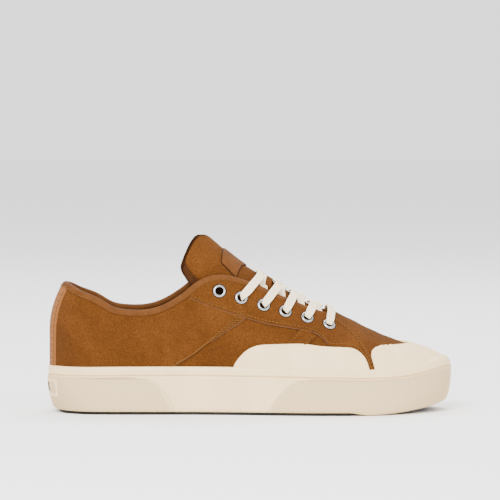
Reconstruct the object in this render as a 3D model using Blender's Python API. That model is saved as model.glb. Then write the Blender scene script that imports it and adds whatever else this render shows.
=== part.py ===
"""Low skateboarding shoe for the right foot, standing empty and unlaced at the top eyelets.

Metres, +Z up, toe towards +X, outer (lateral) side towards -Y. The origin lies on the flat underside
of the outsole, half way along the shoe. The upper and everything on it come from one function, last_form,
which gives the last's surface moved out or in by a chosen distance.
"""

import math

import bmesh
import bpy
import numpy as np
from mathutils import Matrix, Vector

MM = 0.001

# Main sizes
LENGTH = 296 * MM
BALL_WIDTH = 106 * MM
HEEL_WIDTH = 74 * MM
SOLE_HEIGHT = 35 * MM
INSTEP_RISE = 111 * MM
COLLAR_RISE = 59 * MM
GAP = 0.3 * MM

# Sole
OUTSOLE_THICKNESS = 2.2 * MM
FOOTBED_HEIGHT = 15 * MM
INSOLE_THICKNESS = 4.2 * MM
TOE_SPRING = 6.5 * MM
SPRING_START = 0.77
SIDE_TUCK = 8 * MM
OUTSOLE_MARGIN = 0.8 * MM
BUMPER_THICKNESS = 0.7 * MM
BUMPER_DROP = 1.2 * MM
BADGE_THICKNESS = 0.7 * MM
BADGE_WIDTH = 32 * MM
BADGE_HEIGHT = 13 * MM
CUT_SPARE = 4 * MM

# Upper
UPPER_INSET = 3.4 * MM
WALL = 2.2 * MM
HEEL_LEAN = 10 * MM
LEAN_START = 25 * MM
TOE_SETBACK = 8.5 * MM
QUARTER_STEP = 0.8 * MM
OVERLAY_THICKNESS = 1.0 * MM
CAP_THICKNESS = 1.2 * MM
BINDING_WIDTH = 3.6 * MM
BINDING_THICKNESS = 0.9 * MM
TAPE_WIDTH = 30 * MM
TAPE_THICKNESS = 0.9 * MM
TONGUE_THICKNESS = 5 * MM
LABEL_THICKNESS = 0.7 * MM

# Eyelets and laces
EYELET_RADIUS = 4.3 * MM
EYELET_BORE = 2.4 * MM
EYELET_BARREL = 2.9 * MM
EYELET_HEIGHT = 0.8 * MM
LACE_WIDTH = 6 * MM
LACE_THICKNESS = 1.1 * MM

# Heights over the last's surface that follow from the sizes above
EYELET_SEAT = OVERLAY_THICKNESS + 4 * GAP
HOLE_DEPTH = 2 * (EYELET_SEAT + EYELET_HEIGHT + WALL)
OVER_EYELET = EYELET_SEAT + EYELET_HEIGHT + 2 * GAP + LACE_THICKNESS / 2
TONGUE_LIFT = -WALL - BINDING_THICKNESS - 3 * GAP
OVER_TONGUE = TONGUE_LIFT + 5 * GAP + LACE_THICKNESS / 2

# Mesh fineness
STATIONS = 22
DOME_ROWS = 7
EYELET_SIDES = 8
LACE_STEPS = 9


def table(columns, *rows):
    """Rows of shares under named columns."""
    return {name: np.array(values) for name, values in zip(columns.split(), zip(*rows))}


# Outline of the sole from above. lateral and medial go from 0, half the heel's width, to 1, half the ball's;
# bend is the centre line's shift as a share of the ball's width.
PLAN = table(
    "along lateral medial bend",
    (0.000, 0.00, 0.00, 0.000),
    (0.145, -0.03, 0.00, 0.000),
    (0.247, 0.06, 0.03, 0.000),
    (0.348, 0.16, -0.03, 0.000),
    (0.466, 0.44, -0.01, 0.000),
    (0.584, 0.88, 0.22, 0.005),
    (0.686, 1.16, 0.56, 0.014),
    (0.753, 1.25, 0.67, 0.024),
    (0.838, 1.31, 0.75, 0.038),
    (0.905, 1.31, 0.81, 0.047),
    (1.000, 1.19, 0.81, 0.047),
)
HEEL_ROUND = 0.125
TOE_ROUND = 0.28

# Sections of the last. joint is where the side starts to turn in, as a share of the sole's height;
# ridge is the top line as a share of the instep's rise over the sole; full is the side's fullness.
SECTIONS = table(
    "along joint ridge full",
    (0.000, 1.03, 1.000, 1.75),
    (0.154, 0.97, 1.000, 1.75),
    (0.275, 0.97, 1.000, 1.80),
    (0.345, 0.96, 0.985, 1.90),
    (0.400, 0.96, 0.877, 2.05),
    (0.447, 0.96, 0.769, 1.95),
    (0.500, 0.96, 0.661, 1.58),
    (0.547, 0.95, 0.588, 1.32),
    (0.600, 0.95, 0.501, 1.16),
    (0.651, 0.94, 0.417, 1.14),
    (0.702, 0.93, 0.348, 1.15),
    (0.752, 0.91, 0.280, 1.25),
    (0.828, 0.90, 0.187, 1.60),
    (0.879, 0.89, 0.134, 1.80),
    (0.929, 0.86, 0.096, 1.95),
    (0.965, 0.83, 0.072, 2.00),
    (1.000, 0.80, 0.041, 2.00),
)
HEEL_REGION = 0.30
TOE_REGION = 0.15
SECTION_POWER = 2.0

# Top edge of the foxing as a share of the sole's height.
FOXING_TOP = table(
    "along height",
    (0.000, 0.985),
    (0.200, 1.000),
    (0.450, 1.000),
    (0.600, 0.980),
    (0.750, 0.954),
    (0.820, 0.963),
    (0.890, 0.996),
    (0.934, 1.060),
    (0.968, 1.130),
    (1.000, 1.163),
)

# Side wall of the sole from bottom to top: tuck behind the outermost line, as a share of SIDE_TUCK,
# along the sides, at the heel and at the toe. The dip near the top is the groove under the smooth band.
FOXING_SIDE = table(
    "along side heel toe",
    (0.000, 0.250, 0.90, 1.000),
    (0.060, 0.160, 0.62, 0.550),
    (0.360, 0.125, 0.28, 0.220),
    (0.785, 0.125, 0.125, 0.125),
    (0.800, 0.220, 0.220, 0.220),
    (0.820, 0.060, 0.060, 0.060),
    (0.960, 0.090, 0.090, 0.420),
    (1.000, 0.200, 0.200, 1.100),
)
HEEL_WEIGHT_REACH = 0.20
TOE_WEIGHT_REACH = 0.20

# Collar and throat edge from the side: along is a share of the length, up of the collar's rise.
TOP_LINE = table(
    "along up",
    (-0.020, 1.000),
    (0.027, 1.000),
    (0.050, 0.985),
    (0.080, 0.910),
    (0.122, 0.824),
    (0.161, 0.712),
    (0.204, 0.675),
    (0.272, 0.712),
    (0.336, 0.892),
    (0.366, 1.014),
    (0.403, 1.088),
    (0.438, 1.088),
    (0.490, 1.014),
    (0.581, 0.815),
    (0.675, 0.636),
    (0.693, 0.620),
    (0.708, 0.645),
)
BINDING_END = 0.676

# Outlines of the pieces on the upper, in the same shares as the top line.
EYESTAY_LOWER = table(
    "along up",
    (0.348, 0.841),
    (0.437, 0.669),
    (0.482, 0.597),
    (0.533, 0.522),
    (0.613, 0.449),
    (0.655, 0.400),
    (0.672, 0.354),
    (0.688, 0.245),
)
EYESTAY_FRONT = table(
    "along up",
    (0.795, 0.010),
    (0.776, 0.202),
    (0.756, 0.351),
    (0.733, 0.460),
    (0.712, 0.520),
    (0.700, 0.560),
)
GUARD_TOP = table(
    "along up",
    (0.453, 0.010),
    (0.471, 0.125),
    (0.497, 0.229),
    (0.525, 0.270),
    (0.583, 0.278),
    (0.625, 0.275),
    (0.665, 0.237),
    (0.694, 0.227),
    (0.751, 0.203),
    (0.766, 0.158),
    (0.774, 0.092),
    (0.785, 0.005),
)
CAP_REAR = table(
    "along up",
    (0.798, -0.010),
    (0.791, 0.098),
    (0.790, 0.153),
    (0.794, 0.192),
    (0.804, 0.219),
    (0.815, 0.231),
    (0.855, 0.236),
    (0.892, 0.242),
)
QUARTER_SEAM = table("along up", (0.311, 0.004), (0.474, 0.567))
TONGUE_OUTLINE = table(
    "along up",
    (0.392, 1.640),
    (0.310, 1.262),
    (0.330, 1.190),
    (0.367, 1.070),
    (0.500, 0.680),
    (0.635, 0.400),
    (0.750, 0.260),
    (0.760, 0.420),
)
LABEL_OUTLINE = table(
    "along up",
    (0.434, 1.560),
    (0.427, 1.297),
    (0.470, 1.073),
    (0.500, 1.300),
)
HEEL_BUMPER_EDGE = table(
    "along up",
    (0.204, 0.800),
    (0.239, 0.755),
    (0.262, 0.640),
    (0.286, 0.420),
    (0.310, 0.030),
)
TOE_BUMPER_EDGE = table(
    "along up",
    (0.640, 0.770),
    (0.615, 0.740),
    (0.591, 0.630),
    (0.568, 0.430),
    (0.551, 0.230),
    (0.541, 0.030),
)
BUMPER_TOP = 0.77

# Eyelet rows and the lace's crossings: ridge and dive are where a strand meets the tongue's crest
# and the far edge of the throat, as shares of the length.
EYELETS = table(
    "along up",
    (0.420, 0.915),
    (0.473, 0.830),
    (0.528, 0.737),
    (0.581, 0.656),
    (0.635, 0.576),
    (0.689, 0.488),
)
CROSSINGS = table(
    "along ridge dive",
    (0.473, 0.524, 0.536),
    (0.528, 0.570, 0.582),
    (0.581, 0.611, 0.632),
    (0.635, 0.656, 0.675),
)


def smooth(rows, name, at):
    """A cubic curve through one column of a table, with each row's slope taken from its neighbours."""
    along, values = rows["along"], rows[name]
    slope = np.gradient(values, along)
    at = np.clip(at, along[0], along[-1])
    i = np.clip(np.searchsorted(along, at) - 1, 0, len(along) - 2)
    step = along[i + 1] - along[i]
    t = (at - along[i]) / step
    rise = values[i + 1] - values[i]
    a = slope[i] * step - rise
    b = rise - slope[i + 1] * step
    return values[i] + rise * t + t * (1 - t) * (a * (1 - t) + b * t)


def end_weights(along):
    """How much a place belongs to the heel's end and to the toe's end of the sole, 0 to 1."""
    heel = np.clip(1 - along / HEEL_WEIGHT_REACH, 0, 1) ** 2
    toe = np.clip((along - 1 + TOE_WEIGHT_REACH) / TOE_WEIGHT_REACH, 0, 1) ** 2
    return heel, toe


def ring():
    """Shares along the shoe and the side (-1 lateral, 1 medial) of each column, once round from the heel."""
    half = 0.5 - 0.5 * np.cos(np.pi * np.arange(STATIONS + 1) / STATIONS)
    along = np.concatenate([half, half[-2:0:-1]])
    side = np.concatenate([-np.ones(STATIONS + 1), np.ones(STATIONS - 1)])
    return along, side


def partners():
    """For each column of the ring, the column straight across the shoe."""
    count = 2 * STATIONS
    return (count - np.arange(count)) % count


def bend(along):
    return BALL_WIDTH * smooth(PLAN, "bend", along)


def half_width(along, side):
    """Half the sole's width on one side: the table's value, rounded off at the heel and the toe."""
    share = np.where(side < 0, smooth(PLAN, "lateral", along), smooth(PLAN, "medial", along))
    into_heel = np.clip((HEEL_ROUND - along) / HEEL_ROUND, 0, 1)
    into_toe = np.clip((along - 1 + TOE_ROUND) / TOE_ROUND, 0, 1)
    rounding = np.sqrt(np.clip(1 - np.maximum(into_heel, into_toe) ** 2, 0, 1))
    return (HEEL_WIDTH / 2 + share * (BALL_WIDTH - HEEL_WIDTH) / 2) * rounding


def outline(inset):
    """The sole's outline seen from above, moved inwards by inset, one point for each column of the ring."""
    along, side = ring()
    points = np.stack([LENGTH * (along - 0.5), bend(along) + side * half_width(along, side)], axis=1)
    step = np.roll(points, -1, axis=0) - np.roll(points, 1, axis=0)
    outwards = np.stack([step[:, 1], -step[:, 0]], axis=1)
    outwards /= np.linalg.norm(outwards, axis=1)[:, None]
    return points - outwards * np.reshape(inset, (-1, 1))


def spring(x):
    """Height of the outsole's underside over the floor: flat, then rising under the toe."""
    share = np.clip((x / LENGTH + 0.5 - SPRING_START) / (1 - SPRING_START), 0, 1)
    return TOE_SPRING * share**1.7


def foxing_top(along):
    return SOLE_HEIGHT * smooth(FOXING_TOP, "height", along)


def last_points(lift, floor):
    """Grid of the last's surface, one row of columns for each height, moved out along its normals by lift.

    Above the joint each section narrows as (1 - t ** full) ** (1 / power) while t goes from 0 at the joint
    to 1 at the ridge. The heel's back leans forward with height, and the toe's top is set back. The lift
    fades out over the heel, above the collar, where the form is only cut away.
    """
    along, side = ring()
    across = partners()
    base = outline(UPPER_INSET)
    joint = SOLE_HEIGHT * smooth(SECTIONS, "joint", along)
    ridge = SOLE_HEIGHT + INSTEP_RISE * smooth(SECTIONS, "ridge", along)
    full = smooth(SECTIONS, "full", along)
    toe = np.clip((along - 1 + TOE_REGION) / TOE_REGION, 0, 1) ** 3
    heel = np.clip(1 - along / HEEL_REGION, 0, 1) ** 2
    ridge_x = (base[:, 0] + base[across, 0]) / 2 - TOE_SETBACK * toe
    ridge_y = bend(along)
    rows = []
    for turn in np.concatenate([[-1.0], np.linspace(0, 1, DOME_ROWS + 1)]):
        angle = max(turn, 0) * math.pi / 2
        width = math.cos(angle) ** (2 / SECTION_POWER) if turn < 1 else 0
        t = math.sin(angle) ** (2 / full)
        z = np.full(len(along), floor) if turn < 0 else joint + (ridge - joint) * t
        reach = (z - SOLE_HEIGHT - LEAN_START) / (COLLAR_RISE - LEAN_START)
        lean = np.where(reach < 1, np.clip(reach, 0, 1) ** 2, 2 * reach - 1)
        x = ridge_x + (base[:, 0] - ridge_x) * width + HEEL_LEAN * heel * lean
        y = ridge_y + (base[:, 1] - ridge_y) * width
        rows.append(np.stack([x, y, z], axis=1))
    grid = np.array(rows)
    around = np.roll(grid, -1, axis=1) - np.roll(grid, 1, axis=1)
    upwards = np.gradient(grid, axis=0)
    normal = np.cross(around, upwards)
    normal[0] = normal[1]
    normal[:2, :, 2] = 0
    normal[:-1] /= np.linalg.norm(normal[:-1], axis=2)[:, :, None]
    normal[-1] = normal[-2] + normal[-2, across]
    normal[-1, :, 1] = 0
    normal[-1] /= np.linalg.norm(normal[-1], axis=1)[:, None]
    behind = np.clip(3 * (1 - along / HEEL_REGION), 0, 1)
    above = np.clip((grid[:, :, 2] - SOLE_HEIGHT - 1.1 * COLLAR_RISE) / (0.3 * COLLAR_RISE), 0, 1)
    grid = grid + normal * (lift * (1 - behind * above))[:, :, None]
    grid[0, :, 2] = floor
    return grid


def new_object(name, mesh, collection):
    obj = bpy.data.objects.new(name, mesh)
    collection.objects.link(obj)
    return obj


def ring_faces(rows, first=0):
    """Two triangles in each field between a row of a ring and the next one, split the same way in every form."""
    count = 2 * STATIONS
    k = np.arange(count)
    after = (k + 1) % count
    faces = []
    for row in range(rows - 1):
        low, high = first + row * count, first + (row + 1) * count
        faces += np.stack([low + k, low + after, high + after], axis=1).tolist()
        faces += np.stack([low + k, high + after, high + k], axis=1).tolist()
    return faces


def cap_faces(first, upwards):
    """Closes a ring with quads straight across the shoe, and a triangle at each end."""
    faces = []
    for i in range(STATIONS):
        quad = [i, i + 1, 2 * STATIONS - i - 1, (2 * STATIONS - i) % (2 * STATIONS)]
        face = [first + v for v in dict.fromkeys(quad)]
        faces.append(face if upwards else face[::-1])
    return faces


def mesh_from(name, points, faces):
    """A mesh of points and faces, with its doubled points merged."""
    mesh = bpy.data.meshes.new(name)
    mesh.from_pydata(np.reshape(points, (-1, 3)).tolist(), [], faces)
    bm = bmesh.new()
    bm.from_mesh(mesh)
    bmesh.ops.remove_doubles(bm, verts=bm.verts, dist=1e-6)
    bmesh.ops.dissolve_degenerate(bm, edges=bm.edges, dist=1e-7)
    bm.to_mesh(mesh)
    bm.free()
    return mesh


def last_form(name, lift, floor):
    """The closed form of the last, moved out by lift, down to a flat floor."""
    grid = last_points(lift, floor)
    across = partners()
    grid[-1] = (grid[-1] + grid[-1, across]) / 2
    bottom = list(range(2 * STATIONS))[::-1]
    faces = ring_faces(len(grid)) + [bottom]
    return helper(name, mesh_from(name, grid, faces))


def tuck(row):
    """How far one row of the side wall lies behind the outermost line, for each column of the ring."""
    heel, toe = end_weights(ring()[0])
    side = FOXING_SIDE["side"][row]
    share = side + heel * (FOXING_SIDE["heel"][row] - side) + toe * (FOXING_SIDE["toe"][row] - side)
    return SIDE_TUCK * share


def foxing_form(name, lift, spare=0.0):
    """The closed form of the sole's side wall moved out by lift, longer by spare at top and bottom."""
    along, _ = ring()
    low = spring(LENGTH * (along - 0.5)) + OUTSOLE_THICKNESS
    high = foxing_top(along)
    rows = []
    for i, up in enumerate(FOXING_SIDE["along"]):
        rows.append(np.column_stack([outline(tuck(i) - lift), low + (high - low) * up]))
    if spare:
        under = rows[0] - [0, 0, spare]
        over = rows[-1] + [0, 0, spare]
        rows = [under] + rows + [over]
    faces = ring_faces(len(rows)) + cap_faces(0, False) + cap_faces((len(rows) - 1) * 2 * STATIONS, True)
    return helper(name, mesh_from(name, rows, faces))


def slab(name, inset, low, high):
    """A flat piece that fills the sole's outline between two heights, each a function of x."""
    xy = outline(inset)
    rows = [np.column_stack([xy, low(xy[:, 0])]), np.column_stack([xy, high(xy[:, 0])])]
    faces = ring_faces(2) + cap_faces(0, False) + cap_faces(2 * STATIONS, True)
    return mesh_from(name, rows, faces)


def side_curve(rows, drop=0.0, steps=2):
    """Points (x, z) along a table's outline seen from the side, smoothed, and moved down its normal by drop."""
    place = {
        "along": np.arange(len(rows["along"])),
        "x": LENGTH * (rows["along"] - 0.5),
        "z": SOLE_HEIGHT + COLLAR_RISE * rows["up"],
    }
    at = np.linspace(0, len(rows["along"]) - 1, (len(rows["along"]) - 1) * steps + 1)
    points = np.stack([smooth(place, "x", at), smooth(place, "z", at)], axis=1)
    if drop:
        step = np.gradient(points, axis=0)
        step /= np.linalg.norm(step, axis=1)[:, None]
        points = points + drop * np.stack([step[:, 1], -step[:, 0]], axis=1)
    return points


def sole_curve(rows):
    """Points (x, z) of an outline on the sole's side wall: up is a share of the wall's height."""
    x = LENGTH * (rows["along"] - 0.5)
    low = spring(x) + OUTSOLE_THICKNESS
    return np.stack([x, low + (foxing_top(rows["along"]) - low) * rows["up"]], axis=1)


def above_foxing(start, end, count=9):
    """Points (x, z) that run just above the foxing's top edge between two shares of the length."""
    along = ring()[0][: STATIONS + 1]
    lip = outline(tuck(-1))[: STATIONS + 1, 0]
    x = LENGTH * (np.linspace(start, end, count) - 0.5)
    return np.stack([x, np.interp(x, lip, foxing_top(along)) + GAP], axis=1)


def prism(name, points, near, far):
    """A cutter with the side outline given, from y = near to y = far."""
    bm = bmesh.new()
    verts = [bm.verts.new((x, near, z)) for x, z in points]
    face = bm.faces.new(verts)
    grown = bmesh.ops.extrude_face_region(bm, geom=[face])
    moved = [v for v in grown["geom"] if isinstance(v, bmesh.types.BMVert)]
    bmesh.ops.translate(bm, verts=moved, vec=(0, far - near, 0))
    bmesh.ops.recalc_face_normals(bm, faces=bm.faces)
    mesh = bpy.data.meshes.new(name)
    bm.to_mesh(mesh)
    bm.free()
    return helper(name, mesh)


def helper(name, mesh):
    obj = new_object(name, mesh, bpy.data.collections["cutters"])
    obj.hide_render = True
    obj.display_type = "WIRE"
    return obj


def boolean(obj, other, operation):
    modifier = obj.modifiers.new(operation.lower(), "BOOLEAN")
    modifier.operation = operation
    modifier.object = other
    modifier.solver = "EXACT"


def material(name, colour, roughness, metallic=0.0):
    made = bpy.data.materials.new(name)
    made.use_nodes = True
    shader = made.node_tree.nodes["Principled BSDF"]
    shader.inputs["Base Color"].default_value = (*colour, 1)
    shader.inputs["Roughness"].default_value = roughness
    shader.inputs["Metallic"].default_value = metallic
    return made


def piece(name, mesh, finish):
    """A named sub-part of the shoe with its own material."""
    obj = new_object(name, mesh, bpy.data.collections["skate_shoe"])
    colour, roughness, metallic = finish
    mesh.materials.append(material(name, colour, roughness, metallic))
    return obj


def between(name, outer, inner, cutter, finish):
    """A sub-part cut from the space between two forms, inside a cutter."""
    obj = piece(name, outer.data.copy(), finish)
    boolean(obj, inner, "DIFFERENCE")
    boolean(obj, cutter, "INTERSECT")
    return obj


def section_at(x):
    """Centre line, half widths, joint, ridge and fullness of the last's section at x."""
    span = LENGTH - 2 * UPPER_INSET
    along = np.array([(x + span / 2) / span])
    joint = SOLE_HEIGHT * smooth(SECTIONS, "joint", along)[0]
    ridge = SOLE_HEIGHT + INSTEP_RISE * smooth(SECTIONS, "ridge", along)[0]
    full = smooth(SECTIONS, "full", along)[0]
    lateral = half_width(along, np.array([-1.0]))[0] - UPPER_INSET
    medial = half_width(along, np.array([1.0]))[0] - UPPER_INSET
    return bend(along)[0], lateral, medial, joint, ridge, full


def height_at(x, y):
    """Height of the last's surface over a point seen from above."""
    centre, lateral, medial, joint, ridge, full = section_at(x)
    width = abs(y - centre) / (lateral if y < centre else medial)
    t = max(1 - min(width, 1) ** SECTION_POWER, 0) ** (1 / full)
    return joint + (ridge - joint) * t


def on_top(x, y, lift):
    """A point over (x, y) at a distance lift from the last's surface, and the normal there."""
    step = 0.5 * MM
    slope_x = (height_at(x + step, y) - height_at(x - step, y)) / (2 * step)
    slope_y = (height_at(x, y + step) - height_at(x, y - step)) / (2 * step)
    normal = Vector((-slope_x, -slope_y, 1)).normalized()
    return Vector((x, y, height_at(x, y))) + normal * lift, normal


def side_y(x, z, side):
    """Distance across the shoe at which the last's surface stands at height z, on one side."""
    centre, lateral, medial, joint, ridge, full = section_at(x)
    t = np.clip((z - joint) / (ridge - joint), 0, 1)
    width = (1 - t**full) ** (1 / SECTION_POWER)
    return centre + side * width * (lateral if side < 0 else medial)


def eyelet_places():
    """Name, point on the last's surface and normal of each eyelet, front pair last."""
    places = []
    for number, (along, up) in enumerate(zip(EYELETS["along"], EYELETS["up"]), 1):
        x, z = LENGTH * (along - 0.5), SOLE_HEIGHT + COLLAR_RISE * up
        for side, label in ((-1, "lateral"), (1, "medial")):
            point, normal = on_top(x, side_y(x, z, side), 0)
            places.append((f"eyelet_{label}_{number}", point, normal))
    return places


def make_sole(forms):
    top = OUTSOLE_THICKNESS - GAP
    edge = tuck(0) + OUTSOLE_MARGIN
    piece("outsole", slab("outsole", edge, spring, lambda x: spring(x) + top), BLACK_RUBBER)

    midsole = piece("midsole", foxing_form("foxing_body", 0).data.copy(), CREAM_RUBBER)
    boolean(midsole, forms["clear_low"], "DIFFERENCE")

    outer = foxing_form("bumper_outer", GAP + BUMPER_THICKNESS, CUT_SPARE)
    inner = foxing_form("bumper_inner", GAP, 1.5 * CUT_SPARE)
    reach = BALL_WIDTH
    for name, edge_rows, start, end in (
        ("heel_bumper", HEEL_BUMPER_EDGE, -0.05, HEEL_BUMPER_EDGE["along"][0]),
        ("toe_bumper", TOE_BUMPER_EDGE, 1.05, TOE_BUMPER_EDGE["along"][0]),
    ):
        run = {"along": np.linspace(start, end, 12)}
        run["up"] = np.full(12, BUMPER_TOP)
        low_run = {"along": np.linspace(edge_rows["along"][-1], start, 12)}
        low_run["up"] = np.zeros(12)
        low = sole_curve(low_run) - [0, BUMPER_DROP]
        upper_edge = sole_curve(run)[:-1]
        cutter = prism(name + "_cut", np.concatenate([upper_edge, sole_curve(edge_rows), low]), -reach, reach)
        between(name, outer, inner, cutter, CREAM_RUBBER)

    badge_outer = foxing_form("badge_outer", 2 * GAP + BUMPER_THICKNESS + BADGE_THICKNESS, CUT_SPARE)
    badge_inner = foxing_form("badge_inner", 2 * GAP + BUMPER_THICKNESS, 1.5 * CUT_SPARE)
    middle = (OUTSOLE_THICKNESS + SOLE_HEIGHT) / 2
    low, high = middle - BADGE_HEIGHT / 2, middle + BADGE_HEIGHT / 2
    back = [(-LENGTH, low), (-LENGTH / 4, low), (-LENGTH / 4, high), (-LENGTH, high)]
    cutter = prism("badge_cut", back, -BADGE_WIDTH / 2, BADGE_WIDTH / 2)
    between("heel_badge", badge_outer, badge_inner, cutter, CREAM_RUBBER)

    inset = UPPER_INSET + WALL + 2 * GAP
    low = FOOTBED_HEIGHT + GAP
    insole = slab("insole", inset, lambda x: 0 * x + low, lambda x: 0 * x + low + INSOLE_THICKNESS)
    piece("insole", insole, DARK_LINING)


def make_upper(forms, reach):
    """The hollow upper: one wall, its rear quarter raised by a step, open at collar, throat, holes and below."""
    opening = side_curve(TOP_LINE)
    over = np.array([[opening[-1, 0], 2 * LENGTH], [opening[0, 0] - LENGTH, 2 * LENGTH]])
    low_start = np.array([[opening[0, 0] - LENGTH, opening[0, 1]]])
    forms["opening"] = prism("opening", np.concatenate([opening, over, low_start]), -reach, reach)

    seam = side_curve(QUARTER_SEAM, steps=1)
    lower = above_foxing(-0.02, QUARTER_SEAM["along"][0])
    edge = side_curve(TOP_LINE, BINDING_WIDTH + 2 * GAP)
    under_stay = side_curve(EYESTAY_LOWER, 2 * GAP)
    under_stay = under_stay[(under_stay[:, 0] < seam[1, 0])][::-1]
    edge = edge[(edge[:, 0] < under_stay[-1, 0] - GAP)][::-1]
    region = np.concatenate([lower, seam[1:], under_stay, edge])
    raised = helper("raised_quarter", forms["step"].data.copy())
    boolean(raised, prism("quarter_cut", region, -reach, reach), "INTERSECT")

    upper = piece("upper", forms["outside"].data.copy(), SUEDE)
    boolean(upper, raised, "UNION")
    boolean(upper, forms["inside"], "DIFFERENCE")
    boolean(upper, forms["opening"], "DIFFERENCE")
    boolean(upper, forms["holes"], "DIFFERENCE")


def make_overlays(forms, reach):
    """Eyestays, guard, toe cap, heel tape and binding, each cut between two forms of the last."""
    top = side_curve(TOP_LINE, BINDING_WIDTH + GAP)
    lower = side_curve(EYESTAY_LOWER)
    front = side_curve(EYESTAY_FRONT)
    top = top[(top[:, 0] > lower[0, 0] + GAP) & (top[:, 0] < front[-1, 0])][::-1]
    guard = side_curve(GUARD_TOP)
    tail = side_curve(GUARD_TOP, -GAP)
    tail = tail[tail[:, 0] > lower[-1, 0] + GAP]
    stay = np.concatenate([lower, tail, above_foxing(0.790, 0.794, 2), front[1:], top])
    lateral_stay = prism("stay_lateral_cut", stay, -reach, -2 * GAP)
    medial_stay = prism("stay_medial_cut", stay, reach, 2 * GAP)
    for name, cutter in (("eyestay_lateral", lateral_stay), ("eyestay_medial", medial_stay)):
        stay_piece = between(name, forms["overlay_out"], forms["overlay_in"], cutter, SUEDE)
        boolean(stay_piece, forms["holes"], "DIFFERENCE")

    ends = GUARD_TOP["along"]
    region = np.concatenate([guard, above_foxing(ends[-1] - 0.002, ends[0] + 0.002)])
    cutter = prism("guard_cut", region, -reach, 0)
    between("lateral_guard", forms["overlay_out"], forms["overlay_in"], cutter, CREAM_RUBBER)

    rear = side_curve(CAP_REAR)
    ahead = np.array([[LENGTH, rear[-1, 1]]])
    low = above_foxing(1.1, CAP_REAR["along"][0] + 0.002, 24)
    cutter = prism("cap_cut", np.concatenate([rear[1:], ahead, low]), -reach, reach)
    between("toe_cap", forms["cap_out"], forms["overlay_in"], cutter, CREAM_RUBBER)

    low = SOLE_HEIGHT + GAP
    high = SOLE_HEIGHT + COLLAR_RISE - BINDING_WIDTH - 5 * GAP
    back = [(-LENGTH, low), (-LENGTH / 3, low), (-LENGTH / 3, high), (-LENGTH, high)]
    cutter = prism("tape_cut", back, -TAPE_WIDTH / 2, TAPE_WIDTH / 2)
    between("heel_tape", forms["tape_out"], forms["tape_in"], cutter, WEBBING)

    channel = helper("binding_channel", forms["overlay_in"].data.copy())
    boolean(channel, forms["lining_clear"], "DIFFERENCE")
    over = side_curve(TOP_LINE, -GAP)
    under = [(over[-1, 0], 0), (over[0, 0] - LENGTH, 0), (over[0, 0] - LENGTH, over[0, 1])]
    boolean(channel, prism("channel_cut", np.concatenate([over, under]), -reach, reach), "INTERSECT")
    outer_edge = side_curve(TOP_LINE, -GAP - BINDING_THICKNESS)
    inner_edge = side_curve(TOP_LINE, BINDING_WIDTH)
    end = LENGTH * (BINDING_END - 0.5)
    outer_edge = outer_edge[outer_edge[:, 0] < end]
    inner_edge = inner_edge[inner_edge[:, 0] < end]
    band = np.concatenate([outer_edge, inner_edge[::-1]])
    binding = between(
        "collar_binding",
        forms["binding_out"],
        forms["binding_in"],
        prism("binding_cut", band, -reach, reach),
        BINDING_LEATHER,
    )
    boolean(binding, channel, "DIFFERENCE")


def make_tongue(forms, reach):
    outline_points = side_curve(TONGUE_OUTLINE, steps=1)
    cutter = prism("tongue_cut", outline_points, -reach, reach)
    between("tongue", forms["tongue_out"], forms["tongue_in"], cutter, SUEDE)
    label = side_curve(LABEL_OUTLINE, steps=1)
    cutter = prism("label_cut", label, -reach, reach)
    between("tongue_label", forms["label_out"], forms["label_in"], cutter, LABEL_LEATHER)


def eyelet_mesh():
    """A turned ring: rounded flange on the eyestay, and a barrel through the wall."""
    depth = EYELET_SEAT + WALL
    profile = [
        (EYELET_BORE, EYELET_HEIGHT * 0.7),
        ((EYELET_BORE + EYELET_RADIUS) / 2, EYELET_HEIGHT),
        (EYELET_RADIUS, 0),
        (EYELET_BARREL, 0),
        (EYELET_BARREL, -depth),
        (EYELET_BORE, -depth),
    ]
    bm = bmesh.new()
    verts = [bm.verts.new((r, 0, z)) for r, z in profile]
    edges = [bm.edges.new((a, b)) for a, b in zip(verts, verts[1:] + verts[:1])]
    bmesh.ops.spin(
        bm,
        geom=verts + edges,
        cent=(0, 0, 0),
        axis=(0, 0, 1),
        angle=2 * math.pi,
        steps=EYELET_SIDES,
        use_merge=True,
    )
    bmesh.ops.remove_doubles(bm, verts=bm.verts, dist=1e-6)
    bmesh.ops.recalc_face_normals(bm, faces=bm.faces)
    mesh = bpy.data.meshes.new("eyelet")
    bm.to_mesh(mesh)
    bm.free()
    return mesh


def make_eyelets():
    mesh = eyelet_mesh()
    for name, point, normal in eyelet_places():
        obj = piece(name, mesh.copy(), METAL)
        turn = Vector((0, 0, 1)).rotation_difference(normal).to_matrix().to_4x4()
        obj.matrix_world = Matrix.Translation(point + normal * EYELET_SEAT) @ turn


def eyelet_holes():
    """The cylinders that cut the eyelets' holes through eyestay and upper."""
    bm = bmesh.new()
    for _, point, normal in eyelet_places():
        turn = Vector((0, 0, 1)).rotation_difference(normal).to_matrix().to_4x4()
        bmesh.ops.create_cone(
            bm,
            cap_ends=True,
            segments=EYELET_SIDES,
            radius1=EYELET_BARREL + GAP,
            radius2=EYELET_BARREL + GAP,
            depth=HOLE_DEPTH,
            matrix=Matrix.Translation(point) @ turn,
        )
    mesh = bpy.data.meshes.new("holes")
    bm.to_mesh(mesh)
    bm.free()
    return helper("holes", mesh)


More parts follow.
